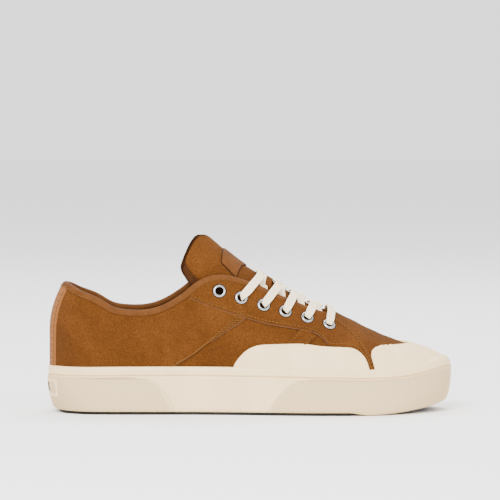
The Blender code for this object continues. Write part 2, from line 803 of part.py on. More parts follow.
def ribbon(name, path):
    """A flat lace strand along (point, normal) pairs, as a closed strip."""
    bm = bmesh.new()
    rows = []
    for i, (point, normal) in enumerate(path):
        before, after = path[max(i - 1, 0)][0], path[min(i + 1, len(path) - 1)][0]
        tangent = (after - before).normalized()
        wide = tangent.cross(normal).normalized() * LACE_WIDTH / 2
        thick = wide.cross(tangent).normalized() * LACE_THICKNESS / 2
        corners = [point - wide - thick, point + wide - thick, point + wide + thick, point - wide + thick]
        rows.append([bm.verts.new(corner) for corner in corners])
    for low, high in zip(rows, rows[1:]):
        for j in range(4):
            bm.faces.new([low[j], low[(j + 1) % 4], high[(j + 1) % 4], high[j]])
    bm.faces.new(rows[0])
    bm.faces.new(rows[-1])
    bmesh.ops.recalc_face_normals(bm, faces=bm.faces)
    mesh = bpy.data.meshes.new(name)
    bm.to_mesh(mesh)
    bm.free()
    return mesh


def strand_path(start, ridge, dive, side, crest):
    """A strand from the eyelet at start over the throat to the far edge at dive, crest off the last."""
    x0, x1, x2 = (LENGTH * (share - 0.5) for share in (start, ridge, dive))
    z0 = SOLE_HEIGHT + COLLAR_RISE * np.interp(start, EYELETS["along"], EYELETS["up"])
    y0 = side_y(x0, z0, side)
    top_z = np.interp(x2, *side_curve(TOP_LINE).T)
    y2 = side_y(x2, top_z, -side) + side * (WALL + BINDING_THICKNESS + LACE_WIDTH)
    path = []
    for t in np.linspace(0, 1, LACE_STEPS):
        y = y0 + (y2 - y0) * t
        near = y / y0
        if near > 0:
            x = x1 + (x0 - x1) * near
            lift = crest + (OVER_EYELET - crest) * min(near / 0.6, 1) ** 1.2
        else:
            far = y / y2
            x = x1 + (x2 - x1) * far
            lift = crest
        path.append(on_top(x, y, lift))
    return path


def make_laces():
    """Four crossings, each two strands joined over the tongue, and one bar across the front pair."""
    low = OVER_TONGUE
    rows = zip(CROSSINGS["along"], CROSSINGS["ridge"], CROSSINGS["dive"])
    for number, (start, ridge, dive) in enumerate(rows, 1):
        under = helper(f"strand_{number}", ribbon("strand", strand_path(start, ridge, dive, 1, low)))
        over_path = strand_path(start, ridge, dive, -1, low + 0.6 * LACE_THICKNESS)
        cross = piece(f"lace_cross_{number}", ribbon("cross", over_path), LACE)
        boolean(cross, under, "UNION")
    x = LENGTH * (EYELETS["along"][-1] - 0.5)
    z = SOLE_HEIGHT + COLLAR_RISE * EYELETS["up"][-1]
    near, far = side_y(x, z, -1), side_y(x, z, 1)
    crest = WALL / 2
    path = []
    for y in np.linspace(near, far, LACE_STEPS):
        share = abs(y) / min(-near, far)
        path.append(on_top(x, y, crest + (OVER_EYELET - crest) * min(share, 1)))
    piece("lace_bar", ribbon("bar", path), LACE)


BLACK_RUBBER = ((0.012, 0.012, 0.014), 0.7, 0.0)
CREAM_RUBBER = ((0.80, 0.74, 0.62), 0.6, 0.0)
SUEDE = ((0.30, 0.115, 0.022), 0.95, 0.0)
BINDING_LEATHER = ((0.36, 0.155, 0.045), 0.7, 0.0)
LABEL_LEATHER = ((0.36, 0.16, 0.05), 0.6, 0.0)
DARK_LINING = ((0.10, 0.04, 0.015), 0.95, 0.0)
WEBBING = ((0.50, 0.22, 0.10), 0.9, 0.0)
METAL = ((0.62, 0.62, 0.64), 0.25, 1.0)
LACE = ((0.88, 0.83, 0.74), 0.9, 0.0)


def make_forms():
    """The last's form at each distance that the pieces are cut between."""
    base = FOOTBED_HEIGHT + GAP
    deep = 0.0
    step = QUARTER_STEP
    lifts = {
        "outside": (0.0, base),
        "inside": (-WALL, deep),
        "step": (step, base),
        "clear_low": (GAP, FOOTBED_HEIGHT),
        "overlay_in": (GAP, deep),
        "overlay_out": (GAP + OVERLAY_THICKNESS, base),
        "cap_out": (GAP + CAP_THICKNESS, base),
        "tape_in": (step + GAP, deep),
        "tape_out": (step + GAP + TAPE_THICKNESS, base),
        "lining_clear": (-WALL - GAP, deep),
        "binding_out": (GAP + BINDING_THICKNESS, base),
        "binding_in": (-WALL - GAP - BINDING_THICKNESS, deep),
        "tongue_out": (TONGUE_LIFT, base),
        "tongue_in": (TONGUE_LIFT - TONGUE_THICKNESS, deep),
        "label_in": (TONGUE_LIFT + GAP, deep),
        "label_out": (TONGUE_LIFT + GAP + LABEL_THICKNESS, base),
    }
    return {name: last_form("form_" + name, lift, floor) for name, (lift, floor) in lifts.items()}


def main():
    for obj in list(bpy.data.objects):
        bpy.data.objects.remove(obj, do_unlink=True)
    for name in ("skate_shoe", "cutters"):
        bpy.context.scene.collection.children.link(bpy.data.collections.new(name))
    bpy.data.collections["cutters"].hide_render = True
    reach = BALL_WIDTH
    forms = make_forms()
    forms["holes"] = eyelet_holes()
    make_sole(forms)
    make_upper(forms, reach)
    make_overlays(forms, reach)
    make_tongue(forms, reach)
    make_eyelets()
    make_laces()
    for obj in bpy.data.collections["skate_shoe"].objects:
        obj.data.shade_smooth()
        obj.data.set_sharp_from_angle(angle=math.radians(35))


main()
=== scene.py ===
import math

import bmesh
import bpy
import numpy as np
from bpy.props import FloatProperty, FloatVectorProperty, IntProperty, PointerProperty
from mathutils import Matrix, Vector


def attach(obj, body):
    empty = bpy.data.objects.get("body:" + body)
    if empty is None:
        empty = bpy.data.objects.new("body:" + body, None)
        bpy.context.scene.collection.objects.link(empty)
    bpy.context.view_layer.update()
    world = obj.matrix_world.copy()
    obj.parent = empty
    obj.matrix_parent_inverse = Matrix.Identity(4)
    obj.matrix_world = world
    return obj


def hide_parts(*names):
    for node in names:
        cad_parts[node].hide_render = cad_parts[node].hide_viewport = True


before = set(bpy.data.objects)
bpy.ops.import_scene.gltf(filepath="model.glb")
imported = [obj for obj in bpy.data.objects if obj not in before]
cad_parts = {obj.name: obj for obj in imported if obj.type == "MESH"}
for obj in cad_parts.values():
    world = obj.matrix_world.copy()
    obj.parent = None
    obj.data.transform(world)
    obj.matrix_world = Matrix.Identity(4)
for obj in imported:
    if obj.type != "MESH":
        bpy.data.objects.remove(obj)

# Looks of a low skateboarding shoe for the right foot, laid over its frame.
# Metres, +Z up, toe towards +X, outer side towards -Y. Every piece of the upper comes from one function,
# last_at, which gives the last's surface from an angle round the shoe and a turn up its side.

bl_info = {
    "name": "Skate Shoe Dressing",
    "version": (1, 0, 0),
    "blender": (4, 5, 0),
    "location": "View3D > Sidebar > Skate Shoe",
    "description": "Builds the finished pieces of a low suede skateboarding shoe over its solid frame",
    "category": "Object",
}

MM = 0.001
TINY = 1e-3

# Sizes of the frame, as the part's source has them
LENGTH = 296 * MM
BALL_WIDTH = 106 * MM
HEEL_WIDTH = 74 * MM
SOLE_HEIGHT = 35 * MM
INSTEP_RISE = 111 * MM
COLLAR_RISE = 59 * MM
OUTSOLE_THICKNESS = 2.2 * MM
FOOTBED_HEIGHT = 15 * MM
INSOLE_THICKNESS = 4.2 * MM
TOE_SPRING = 6.5 * MM
SPRING_START = 0.77
SIDE_TUCK = 8 * MM
OUTSOLE_MARGIN = 0.8 * MM
UPPER_INSET = 3.4 * MM
WALL = 2.2 * MM
HEEL_LEAN = 10 * MM
LEAN_START = 25 * MM
TOE_SETBACK = 8.5 * MM
TONGUE_LIFT = -4.0 * MM
HEEL_ROUND = 0.125
TOE_ROUND = 0.28
HEEL_REGION = 0.30
TOE_REGION = 0.15
END_REACH = 0.20
BUMPER_TOP = 0.77

# Places that only the looks need: how far pieces reach under one another, how they are stepped and rounded
TUCK_UNDER = 6 * MM
RIM = 0.35 * MM
PANEL_ROOT = 0.4 * MM
PANEL_SEAT = 0.3 * MM
QUARTER_SHARE = 0.8
BAND_SHARE = 0.75
BAND_WIDTH = 11 * MM
BAND_SLANT = 0.06
TAPE_WIDTH = 30 * MM
TAPE_STEP = 0.27 * MM
RIB_PITCH = 1.62 * MM
BARREL_DEPTH = 2.2 * MM
RING_STEPS = 40
SHADE_RING_STEPS = 24
THROAT_FRONT = 0.664
THROAT_TIP = 0.699
THROAT_END = 0.683
STAY_STEPS = 150
HEEL_BUMPER_COLUMNS = 400
TOE_BUMPER_COLUMNS = 540


def table(columns, *rows):
    """Rows of shares under named columns."""
    return {name: np.array(values) for name, values in zip(columns.split(), zip(*rows))}


# Outline of the sole from above: 0 is half the heel's width and 1 half the ball's
PLAN = table(
    "along lateral medial bend",
    (0.000, 0.00, 0.00, 0.000),
    (0.145, -0.03, 0.00, 0.000),
    (0.247, 0.06, 0.03, 0.000),
    (0.348, 0.16, -0.03, 0.000),
    (0.466, 0.44, -0.01, 0.000),
    (0.584, 0.88, 0.22, 0.005),
    (0.686, 1.16, 0.56, 0.014),
    (0.753, 1.25, 0.67, 0.024),
    (0.838, 1.31, 0.75, 0.038),
    (0.905, 1.31, 0.81, 0.047),
    (1.000, 1.19, 0.81, 0.047),
)

# Sections of the last: joint as a share of the sole's height, ridge of the instep's rise
SECTIONS = table(
    "along joint ridge full",
    (0.000, 1.03, 1.000, 1.75),
    (0.154, 0.97, 1.000, 1.75),
    (0.275, 0.97, 1.000, 1.80),
    (0.345, 0.96, 0.985, 1.90),
    (0.400, 0.96, 0.877, 2.05),
    (0.447, 0.96, 0.769, 1.95),
    (0.500, 0.96, 0.661, 1.58),
    (0.547, 0.95, 0.588, 1.32),
    (0.600, 0.95, 0.501, 1.16),
    (0.651, 0.94, 0.417, 1.14),
    (0.702, 0.93, 0.348, 1.15),
    (0.752, 0.91, 0.280, 1.25),
    (0.828, 0.90, 0.187, 1.60),
    (0.879, 0.89, 0.134, 1.80),
    (0.929, 0.86, 0.096, 1.95),
    (0.965, 0.83, 0.072, 2.00),
    (1.000, 0.80, 0.041, 2.00),
)

# Top edge of the foxing, and its side from bottom to top with the groove under the smooth band
FOXING_TOP = table(
    "along height",
    (0.000, 0.985),
    (0.200, 1.000),
    (0.450, 1.000),
    (0.600, 0.980),
    (0.750, 0.954),
    (0.820, 0.963),
    (0.890, 0.996),
    (0.934, 1.060),
    (0.968, 1.130),
    (1.000, 1.163),
)
FOXING_SIDE = table(
    "up side heel toe",
    (0.000, 0.300, 0.950, 1.050),
    (0.015, 0.210, 0.800, 0.820),
    (0.050, 0.150, 0.640, 0.580),
    (0.120, 0.130, 0.520, 0.440),
    (0.230, 0.125, 0.400, 0.310),
    (0.360, 0.125, 0.280, 0.220),
    (0.550, 0.125, 0.165, 0.150),
    (0.700, 0.125, 0.125, 0.125),
    (0.780, 0.125, 0.125, 0.125),
    (0.790, 0.180, 0.180, 0.180),
    (0.799, 0.225, 0.225, 0.225),
    (0.808, 0.150, 0.150, 0.150),
    (0.820, 0.065, 0.065, 0.065),
    (0.860, 0.055, 0.055, 0.090),
    (0.910, 0.060, 0.060, 0.200),
    (0.950, 0.075, 0.075, 0.380),
    (0.980, 0.115, 0.115, 0.660),
    (0.993, 0.170, 0.170, 0.900),
    (1.000, 0.260, 0.260, 1.100),
)

# Outlines seen from the side: along is a share of the length, up of the collar's rise
TOP_LINE = table(
    "along up",
    (-0.020, 1.000),
    (0.027, 1.000),
    (0.050, 0.985),
    (0.080, 0.910),
    (0.122, 0.824),
    (0.161, 0.712),
    (0.204, 0.675),
    (0.272, 0.712),
    (0.336, 0.892),
    (0.366, 1.014),
    (0.403, 1.088),
    (0.438, 1.088),
    (0.490, 1.014),
    (0.581, 0.815),
    (0.675, 0.636),
    (0.693, 0.620),
    (0.708, 0.645),
)
EYESTAY_LOWER = table(
    "along up",
    (0.348, 0.841),
    (0.392, 0.745),
    (0.437, 0.669),
    (0.482, 0.597),
    (0.533, 0.522),
    (0.580, 0.478),
    (0.613, 0.449),
    (0.637, 0.425),
    (0.655, 0.395),
    (0.672, 0.340),
    (0.688, 0.245),
)
EYESTAY_FRONT = table(
    "along up",
    (0.7985, -0.090),
    (0.792, 0.060),
    (0.776, 0.202),
    (0.756, 0.351),
    (0.733, 0.460),
    (0.712, 0.535),
    (0.700, 0.585),
)
GUARD_TOP = table(
    "along up",
    (0.448, -0.090),
    (0.457, 0.040),
    (0.471, 0.135),
    (0.485, 0.200),
    (0.502, 0.245),
    (0.525, 0.270),
    (0.583, 0.278),
    (0.625, 0.275),
    (0.665, 0.247),
    (0.694, 0.235),
    (0.735, 0.222),
    (0.752, 0.200),
    (0.766, 0.150),
    (0.777, 0.072),
    (0.787, -0.090),
)
CAP_REAR = table(
    "along up",
    (0.8000, -0.120),
    (0.7945, 0.000),
    (0.7905, 0.098),
    (0.7900, 0.150),
    (0.7935, 0.190),
    (0.8030, 0.218),
    (0.8170, 0.229),
    (0.8500, 0.226),
    (0.8750, 0.222),
    (0.8960, 0.2185),
)
QUARTER_FRONT = table(
    "along up",
    (0.282, -0.110),
    (0.311, 0.004),
    (0.353, 0.145),
    (0.396, 0.291),
    (0.439, 0.440),
    (0.482, 0.595),
    (0.478, 0.740),
    (0.440, 0.900),
)
SIDE_SEAM = table(
    "along up",
    (0.598, 0.200),
    (0.613, 0.290),
    (0.640, 0.420),
)
STAY_TAIL = table(
    "along up",
    (0.688, 0.245),
    (0.700, 0.234),
    (0.735, 0.226),
    (0.752, 0.204),
    (0.766, 0.154),
    (0.777, 0.076),
    (0.785, -0.100),
)
TONGUE_EDGE = table(
    "along up",
    (0.745, 0.180),
    (0.635, 0.400),
    (0.560, 0.540),
    (0.500, 0.680),
    (0.430, 0.880),
    (0.372, 1.060),
    (0.347, 1.200),
    (0.3385, 1.295),
    (0.343, 1.365),
    (0.356, 1.430),
)
TONGUE_RIDGE = np.array([0.750, 0.680, 0.620, 0.560, 0.500, 0.455, 0.432, 0.419, 0.412, 0.409])
LABEL_EDGE = table("along up", (0.432, 1.290), (0.468, 1.098))
LABEL_RIDGE = (0.444, 0.496)
LOOP_EDGE = table("along up", (0.537, 1.010), (0.553, 0.960))
LOOP_RIDGE = (0.545, 0.563)
HEEL_BUMPER_EDGE = table(
    "up along",
    (0.010, 0.3120),
    (0.240, 0.2980),
    (0.420, 0.2860),
    (0.560, 0.2730),
    (0.660, 0.2580),
    (0.730, 0.2400),
    (0.770, 0.2050),
)
TOE_BUMPER_EDGE = table(
    "up along",
    (0.010, 0.5400),
    (0.230, 0.5510),
    (0.430, 0.5680),
    (0.560, 0.5820),
    (0.660, 0.5960),
    (0.730, 0.6130),
    (0.770, 0.6450),
)

# Eyelet rows, and where each strand meets the tongue's crest and the far edge of the throat
EYELETS = table(
    "along up",
    (0.420, 0.915),
    (0.473, 0.830),
    (0.528, 0.737),
    (0.581, 0.656),
    (0.635, 0.576),
    (0.689, 0.488),
)
CROSSINGS = table(
    "along over under dive",
    (0.473, 0.5270, 0.5400, 0.5350),
    (0.528, 0.5695, 0.5850, 0.5800),
    (0.581, 0.6060, 0.6300, 0.6290),
    (0.635, 0.6510, 0.6710, 0.6740),
)

# Heights over the last at which a strand comes up through its eyelet
LACE_RISE = np.array([-2.0, -0.9, 0.3, 1.3])[:, None] * MM

# Soft creases of the suede seen from the side: middle, half length, half width, lean in degrees and depth in
# millimetres, trough when positive
CREASES = table(
    "along up long wide lean depth",
    (0.115, 0.480, 0.055, 0.018, 62, 0.55),
    (0.150, 0.300, 0.050, 0.015, 40, 0.40),
    (0.205, 0.430, 0.045, 0.016, 105, 0.45),
    (0.262, 0.330, 0.055, 0.020, 75, 0.50),
    (0.330, 0.560, 0.045, 0.016, 60, 0.35),
    (0.480, 0.380, 0.050, 0.016, 25, 0.35),
    (0.565, 0.360, 0.040, 0.014, 15, 0.30),
    (0.745, 0.420, 0.040, 0.012, 118, 0.45),
    (0.790, 0.330, 0.035, 0.012, 112, 0.55),
    (0.830, 0.290, 0.030, 0.011, 108, 0.40),
    (0.195, 0.560, 0.060, 0.022, 20, -0.45),
    (0.085, 0.300, 0.050, 0.020, 80, -0.40),
    (0.770, 0.380, 0.040, 0.012, 115, -0.45),
    (0.562, 0.130, 0.026, 0.0035, 112, -0.35),
    (0.705, 0.120, 0.026, 0.0035, 65, -0.30),
)


def smooth(rows, name, at, key="along"):
    """A cubic curve through one column of a table, with each row's slope taken from its neighbours."""
    along, values = rows[key], rows[name]
    slope = np.gradient(values, along)
    at = np.clip(at, along[0], along[-1])
    i = np.clip(np.searchsorted(along, at) - 1, 0, len(along) - 2)
    step = along[i + 1] - along[i]
    t = (at - along[i]) / step
    rise = values[i + 1] - values[i]
    a = slope[i] * step - rise
    b = rise - slope[i + 1] * step
    return values[i] + rise * t + t * (1 - t) * (a * (1 - t) + b * t)


def run_through(rows, count, *names):
    """The named columns of a table, carried smoothly through its rows in order, at count even steps."""
    row = np.arange(len(rows[names[0]]), dtype=float)
    at = np.linspace(0, row[-1], count)
    return [smooth({**rows, "row": row}, name, at, "row") for name in names]


def ring_place(phi):
    """Share along the shoe and side at an angle round it: 0 at the heel, pi at the toe; the outer side has
    positive angles and the sign -1."""
    return 0.5 - 0.5 * np.cos(phi), np.where(np.sin(phi) >= 0, -1.0, 1.0)


def angle_of(along):
    """The angle round the shoe at a share of its length, on the outer side."""
    return np.arccos(1 - 2 * np.asarray(along))


def bend(along):
    """How far the sole's middle line lies off the straight one."""
    return BALL_WIDTH * smooth(PLAN, "bend", along)


def half_width(along, side):
    """Half the sole's width on one side: the table's value, rounded off at the heel and the toe."""
    share = np.where(side < 0, smooth(PLAN, "lateral", along), smooth(PLAN, "medial", along))
    into_heel = np.clip((HEEL_ROUND - along) / HEEL_ROUND, 0, 1)
    into_toe = np.clip((along - 1 + TOE_ROUND) / TOE_ROUND, 0, 1)
    rounding = np.sqrt(np.clip(1 - np.maximum(into_heel, into_toe) ** 2, 0, 1))
    return (HEEL_WIDTH / 2 + share * (BALL_WIDTH - HEEL_WIDTH) / 2) * rounding


def edge_point(phi):
    """The sole's outermost line seen from above."""
    along, side = ring_place(phi)
    return np.stack([LENGTH * (along - 0.5), bend(along) + side * half_width(along, side)], axis=-1)


def outline(phi, inset):
    """The outermost line moved inwards by inset: the point less its outward direction times inset."""
    step = edge_point(phi + TINY) - edge_point(phi - TINY)
    outwards = np.stack([step[..., 1], -step[..., 0]], axis=-1)
    outwards /= np.linalg.norm(outwards, axis=-1, keepdims=True)
    return edge_point(phi) - outwards * np.broadcast_to(inset, np.shape(phi))[..., None]


def section(phi):
    """Joint height, ridge height and fullness of the last at an angle round it."""
    along, _ = ring_place(phi)
    joint = SOLE_HEIGHT * smooth(SECTIONS, "joint", along)
    ridge = SOLE_HEIGHT + INSTEP_RISE * smooth(SECTIONS, "ridge", along)
    return joint, ridge, smooth(SECTIONS, "full", along)


def last_at(phi, turn):
    """The last's surface. Above the joint its width falls as the cosine of a quarter turn, and its height
    rises as the sine to the power 2 / full; the heel leans forward with height, and the toe is set back."""
    along, _ = ring_place(phi)
    base, across = outline(phi, UPPER_INSET), outline(-phi, UPPER_INSET)
    joint, ridge, full = section(phi)
    toe = np.clip((along - 1 + TOE_REGION) / TOE_REGION, 0, 1) ** 3
    heel = np.clip(1 - along / HEEL_REGION, 0, 1) ** 2
    ridge_x = (base[..., 0] + across[..., 0]) / 2 - TOE_SETBACK * toe
    angle = np.clip(turn, 0, 1) * np.pi / 2
    width, t = np.cos(angle), np.sin(angle) ** (2 / full)
    z = np.where(turn < 0, joint + turn * (joint - FOOTBED_HEIGHT), joint + (ridge - joint) * t)
    reach = (z - SOLE_HEIGHT - LEAN_START) / (COLLAR_RISE - LEAN_START)
    lean = np.where(reach < 1, np.clip(reach, 0, 1) ** 2, 2 * reach - 1)
    x = ridge_x + (base[..., 0] - ridge_x) * width + HEEL_LEAN * heel * lean
    y = bend(along) + (base[..., 1] - bend(along)) * width
    return np.stack([x, y, z], axis=-1)


def slant(phi, turn):
    """The last's outward normal: the cross product of its two directions, made level across the ridge."""
    low = np.minimum(turn, 0.985)
    around = last_at(phi + 2 * TINY, low) - last_at(phi - 2 * TINY, low)
    upwards = last_at(phi, low + 5 * TINY) - last_at(phi, low - 5 * TINY)
    normal = np.cross(around, upwards)
    return normal / np.linalg.norm(normal, axis=-1, keepdims=True)


def relief(points):
    """Soft creases: each is a Gaussian trough across its line, faded out towards its two ends."""
    x = points[..., 0] / LENGTH + 0.5
    z = (points[..., 2] - SOLE_HEIGHT) / LENGTH
    total = np.zeros(np.shape(x))
    for i, along in enumerate(CREASES["along"]):
        lean = math.radians(CREASES["lean"][i])
        rise = CREASES["up"][i] * COLLAR_RISE / LENGTH
        run = (x - along) * math.cos(lean) + (z - rise) * math.sin(lean)
        off = (z - rise) * math.cos(lean) - (x - along) * math.sin(lean)
        bow = 0.12 * run**2 / CREASES["long"][i]
        shape = np.exp(-(((off - bow) / CREASES["wide"][i]) ** 2) - (run / CREASES["long"][i]) ** 2)
        total -= CREASES["depth"][i] * MM * shape
    return total


def skin(phi, turn, lift=0.0, creased=True):
    """Points and normals over the last: the surface moved out along its normal by lift and the creases."""
    points = last_at(phi, turn)
    normal = slant(phi, turn)
    level = np.clip((turn - 0.93) / 0.07, 0, 1)[..., None]
    both = normal + slant(-phi, turn)
    both /= np.linalg.norm(both, axis=-1, keepdims=True)
    normal = normal * (1 - level) + both * level
    normal /= np.linalg.norm(normal, axis=-1, keepdims=True)
    out = np.asarray(lift) + (relief(points) if creased else 0.0)
    return points + normal * np.broadcast_to(out, np.shape(phi))[..., None], normal


def turn_at(phi, z):
    """The turn up the side at which the last stands at height z."""
    joint, ridge, full = section(phi)
    t = np.clip((z - joint) / (ridge - joint), 0, 1)
    above = np.arcsin(t ** (full / 2)) * 2 / np.pi
    return np.where(z < joint, (z - joint) / (joint - FOOTBED_HEIGHT), above)


def settle(phi, x, turn_of):
    """Moves each angle until the last stands at x there, the turn following from turn_of."""
    for _ in range(14):
        turn = turn_of(phi)
        slope = last_at(phi + TINY, turn)[..., 0] - last_at(phi - TINY, turn)[..., 0]
        miss = last_at(phi, turn)[..., 0] - x
        phi = phi - np.clip(miss * 2 * TINY / np.where(np.abs(slope) < 1e-7, 1e-7, slope), -0.1, 0.1)
        phi = np.clip(phi, 0.02, np.pi - 0.02)
    return phi, turn_of(phi)


def on_side(along, up):
    """Angle and turn, on the outer side, of a place given in the shares of an outline."""
    x = LENGTH * (np.asarray(along) - 0.5)
    z = SOLE_HEIGHT + COLLAR_RISE * np.asarray(up)
    start = angle_of(np.clip(along, 0.002, 0.998))
    return settle(start, x, lambda phi: turn_at(phi, z))


def on_top(x, y):
    """Angle and turn of the place over a point seen from above."""
    sign = np.where(y < 0, 1.0, -1.0)
    start = angle_of(np.clip(x / LENGTH + 0.5, 0.002, 0.998))

    def turn_of(phi):
        along, _ = ring_place(phi)
        half = np.abs(outline(sign * phi, UPPER_INSET)[..., 1] - bend(along))
        return np.arccos(np.clip(np.abs(y - bend(along)) / half, 0, 1)) * 2 / np.pi

    phi, turn = settle(start, np.asarray(x), turn_of)
    return sign * phi, turn


def spring(x):
    """Height of the outsole's underside over the floor: flat, then rising under the toe."""
    share = np.clip((x / LENGTH + 0.5 - SPRING_START) / (1 - SPRING_START), 0, 1)
    return TOE_SPRING * share**1.7


def tucked(phi, up):
    """How far the side wall lies behind its outermost line: one profile at the sides, others at heel and
    toe."""
    along, _ = ring_place(phi)
    heel = np.clip(1 - along / END_REACH, 0, 1) ** 2
    toe = np.clip((along - 1 + END_REACH) / END_REACH, 0, 1) ** 2
    side, back, front = (np.interp(up, FOXING_SIDE["up"], FOXING_SIDE[c]) for c in ("side", "heel", "toe"))
    return SIDE_TUCK * (side + heel * (back - side) + toe * (front - side))


def foxing_at(phi, up, lift=0.0):
    """The sole's side wall: the outline tucked in by the profile, between underside and top edge."""
    along, _ = ring_place(phi)
    inset = tucked(phi, up) - lift
    hidden = np.clip((along - 0.74) / 0.04, 0, 1)
    low = spring(LENGTH * (along - 0.5)) + OUTSOLE_THICKNESS * (1 - 0.92 * hidden)
    high = SOLE_HEIGHT * smooth(FOXING_TOP, "height", along)
    z = low + (high - low) * up
    return np.concatenate([outline(phi, inset), np.broadcast_to(z, np.shape(phi))[..., None]], axis=-1)


def borders():
    """Angles round the shoe with the upper's lowest turn, tucked under the foxing, and its highest."""
    phi = np.linspace(-np.pi, np.pi, 2881)
    along, _ = ring_place(phi)
    low = turn_at(phi, SOLE_HEIGHT * smooth(FOXING_TOP, "height", along) - TUCK_UNDER)
    top = np.full(len(phi), 0.5)
    for _ in range(40):
        x = last_at(phi, top)[..., 0] / LENGTH + 0.5
        z = SOLE_HEIGHT + COLLAR_RISE * smooth(TOP_LINE, "up", x)
        z = np.where(x > TOP_LINE["along"][-1], 1.0, z)
        top = (top + turn_at(phi, z)) / 2
    return phi, low, np.where(top > 0.994, 1.0, top)


RING, LOW_TURN, TOP_TURN = borders()


def low_turn(phi):
    """Turn at which the upper's visible side begins."""
    return np.interp((phi + np.pi) % (2 * np.pi) - np.pi, RING, LOW_TURN)


def top_turn(phi):
    """Turn of the collar's and the throat's edge."""
    return np.interp((phi + np.pi) % (2 * np.pi) - np.pi, RING, TOP_TURN)


def grid_faces(rows, columns, closed=False):
    """Quads between neighbouring points of a grid, row direction upwards, column direction to the right."""
    k = np.arange(columns if closed else columns - 1)
    low = np.arange(rows - 1)[:, None] * columns
    a, b = low + k, low + (k + 1) % columns
    return np.stack([a, b, b + columns, a + columns], axis=-1).reshape(-1, 4)


def shell_faces(rows, columns):
    """Faces of a closed shell from two equal grids: the top, the underside turned over, and a strip
    between."""
    count = rows * columns
    index = np.arange(count).reshape(rows, columns)
    border = np.concatenate([index[0, :-1], index[:-1, -1], index[-1, :0:-1], index[:0:-1, 0]])
    after = np.roll(border, -1)
    strip = np.stack([after, border, border + count, after + count], axis=-1)
    top = grid_faces(rows, columns)
    return np.concatenate([top, top[:, ::-1] + count, strip])


def tube_faces(rows, columns):
    """Faces of a closed tube of rows rings, with a fan of quads over each end."""
    side = grid_faces(rows, columns, closed=True)
    half = np.arange(columns // 2 - 1)
    fan = np.stack([half, half + 1, columns - 2 - half, columns - 1 - half], axis=-1)
    return np.concatenate([side, fan[:, ::-1], fan + (rows - 1) * columns])


def outwards(points, faces):
    """The faces as they are, or turned over where they enclose a negative volume."""
    corner = points[faces]
    first = np.cross(corner[:, 1] - corner[:, 0], corner[:, 2] - corner[:, 0])
    second = np.cross(corner[:, 2] - corner[:, 0], corner[:, 3] - corner[:, 0])
    return faces if np.sum(corner[:, 0] * (first + second)) > 0 else faces[:, ::-1]


def add_piece(name, points, faces, material, nodes=(), uv=None):
    """A finished piece of the shoe from points and quads, welded, riding on the one body."""
    points = np.reshape(points, (-1, 3))
    faces = outwards(points, np.reshape(faces, (-1, 4)))
    mesh = bpy.data.meshes.new(name)
    mesh.from_pydata(points.tolist(), [], faces.tolist())
    if uv is not None:
        corners = np.empty(len(mesh.loops), np.int32)
        mesh.loops.foreach_get("vertex_index", corners)
        layer = mesh.uv_layers.new(name="flat")
        layer.data.foreach_set("uv", np.reshape(uv, (-1, 2))[corners].astype(np.float32).ravel())
    bm = bmesh.new()
    bm.from_mesh(mesh)
    bmesh.ops.remove_doubles(bm, verts=bm.verts, dist=1e-6)
    bmesh.ops.dissolve_degenerate(bm, edges=bm.edges, dist=1e-7)
    bm.to_mesh(mesh)
    bm.free()
    mesh.shade_smooth()
    mesh.materials.append(material)
    piece = bpy.data.objects.new(name, mesh)
    bpy.context.scene.collection.objects.link(piece)
    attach(piece, "root")
    if nodes:
        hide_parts(*nodes)
    return piece


def lengths_along(points):
    """Distance run from the first point to each point of a line, over the second last axis."""
    step = np.linalg.norm(np.diff(points, axis=-2), axis=-1)
    zero = np.zeros(step.shape[:-1] + (1,))
    return np.concatenate([zero, np.cumsum(step, axis=-1)], axis=-1)


def rounded(distance, radius):
    """A quarter round: 0 at the edge, 1 from radius inwards."""
    return np.sqrt(np.clip(1 - (1 - np.clip(distance / radius, 0, 1)) ** 2, 0, 1))


def ladder(low, high, inner):
    """Angles and turns on a grid between two border lines, with four close rows along each border, and
    each place's distance to the nearer border. Lines are (count, 2) arrays of angle and turn."""
    share = np.linspace(0, 1, 13)[:, None, None]
    rungs = low + (high - low) * share
    width = lengths_along(np.swapaxes(last_at(rungs[..., 0], rungs[..., 1]), 0, 1))[:, -1]
    near = np.array([0.0, 0.12, 0.4, 1.0]) * RIM
    count = inner + 8
    place = []
    for k, distance in enumerate(near):
        place.append(np.minimum(distance, width * k / count))
    place += [place[3] + (width - 2 * place[3]) * (k + 1) / (inner + 1) for k in range(inner)]
    place += [width - p for p in place[3::-1]]
    place = np.array(place)
    t = (place / np.maximum(width, 1e-9))[..., None]
    grid = low + (high - low) * t
    return grid, np.minimum(place, width - place)


def panel(name, grid, distance, base, thick, material, nodes=(), ends=(), dents=(), creased=True):
    """A closed overlay: a grid of places lifted by base plus thick times the quarter round of the distance to
    its edge, less the dents of its seams, over a flat underside sunk into what carries it. ends names the
    ends that are rounded too."""
    run = lengths_along(last_at(grid[..., 0], grid[..., 1]))
    away = distance
    if "first" in ends:
        away = np.minimum(away, run)
    if "last" in ends:
        away = np.minimum(away, run[:, -1:] - run)
    lift = base - PANEL_ROOT + (thick + PANEL_ROOT) * rounded(away, RIM)
    for from_edge, depth, wide in dents:
        lift -= depth * np.exp(-(((away - from_edge) / wide) ** 2))
    top, _ = skin(grid[..., 0], grid[..., 1], lift, creased)
    under, _ = skin(grid[..., 0], grid[..., 1], base - 1.6 * PANEL_ROOT, creased)
    both = np.concatenate([top, under])
    flat = np.stack([run, np.broadcast_to(distance, run.shape)], axis=-1)
    uv = np.concatenate([flat, flat])
    return add_piece(name, both, shell_faces(*grid.shape[:2]), material, nodes, uv)


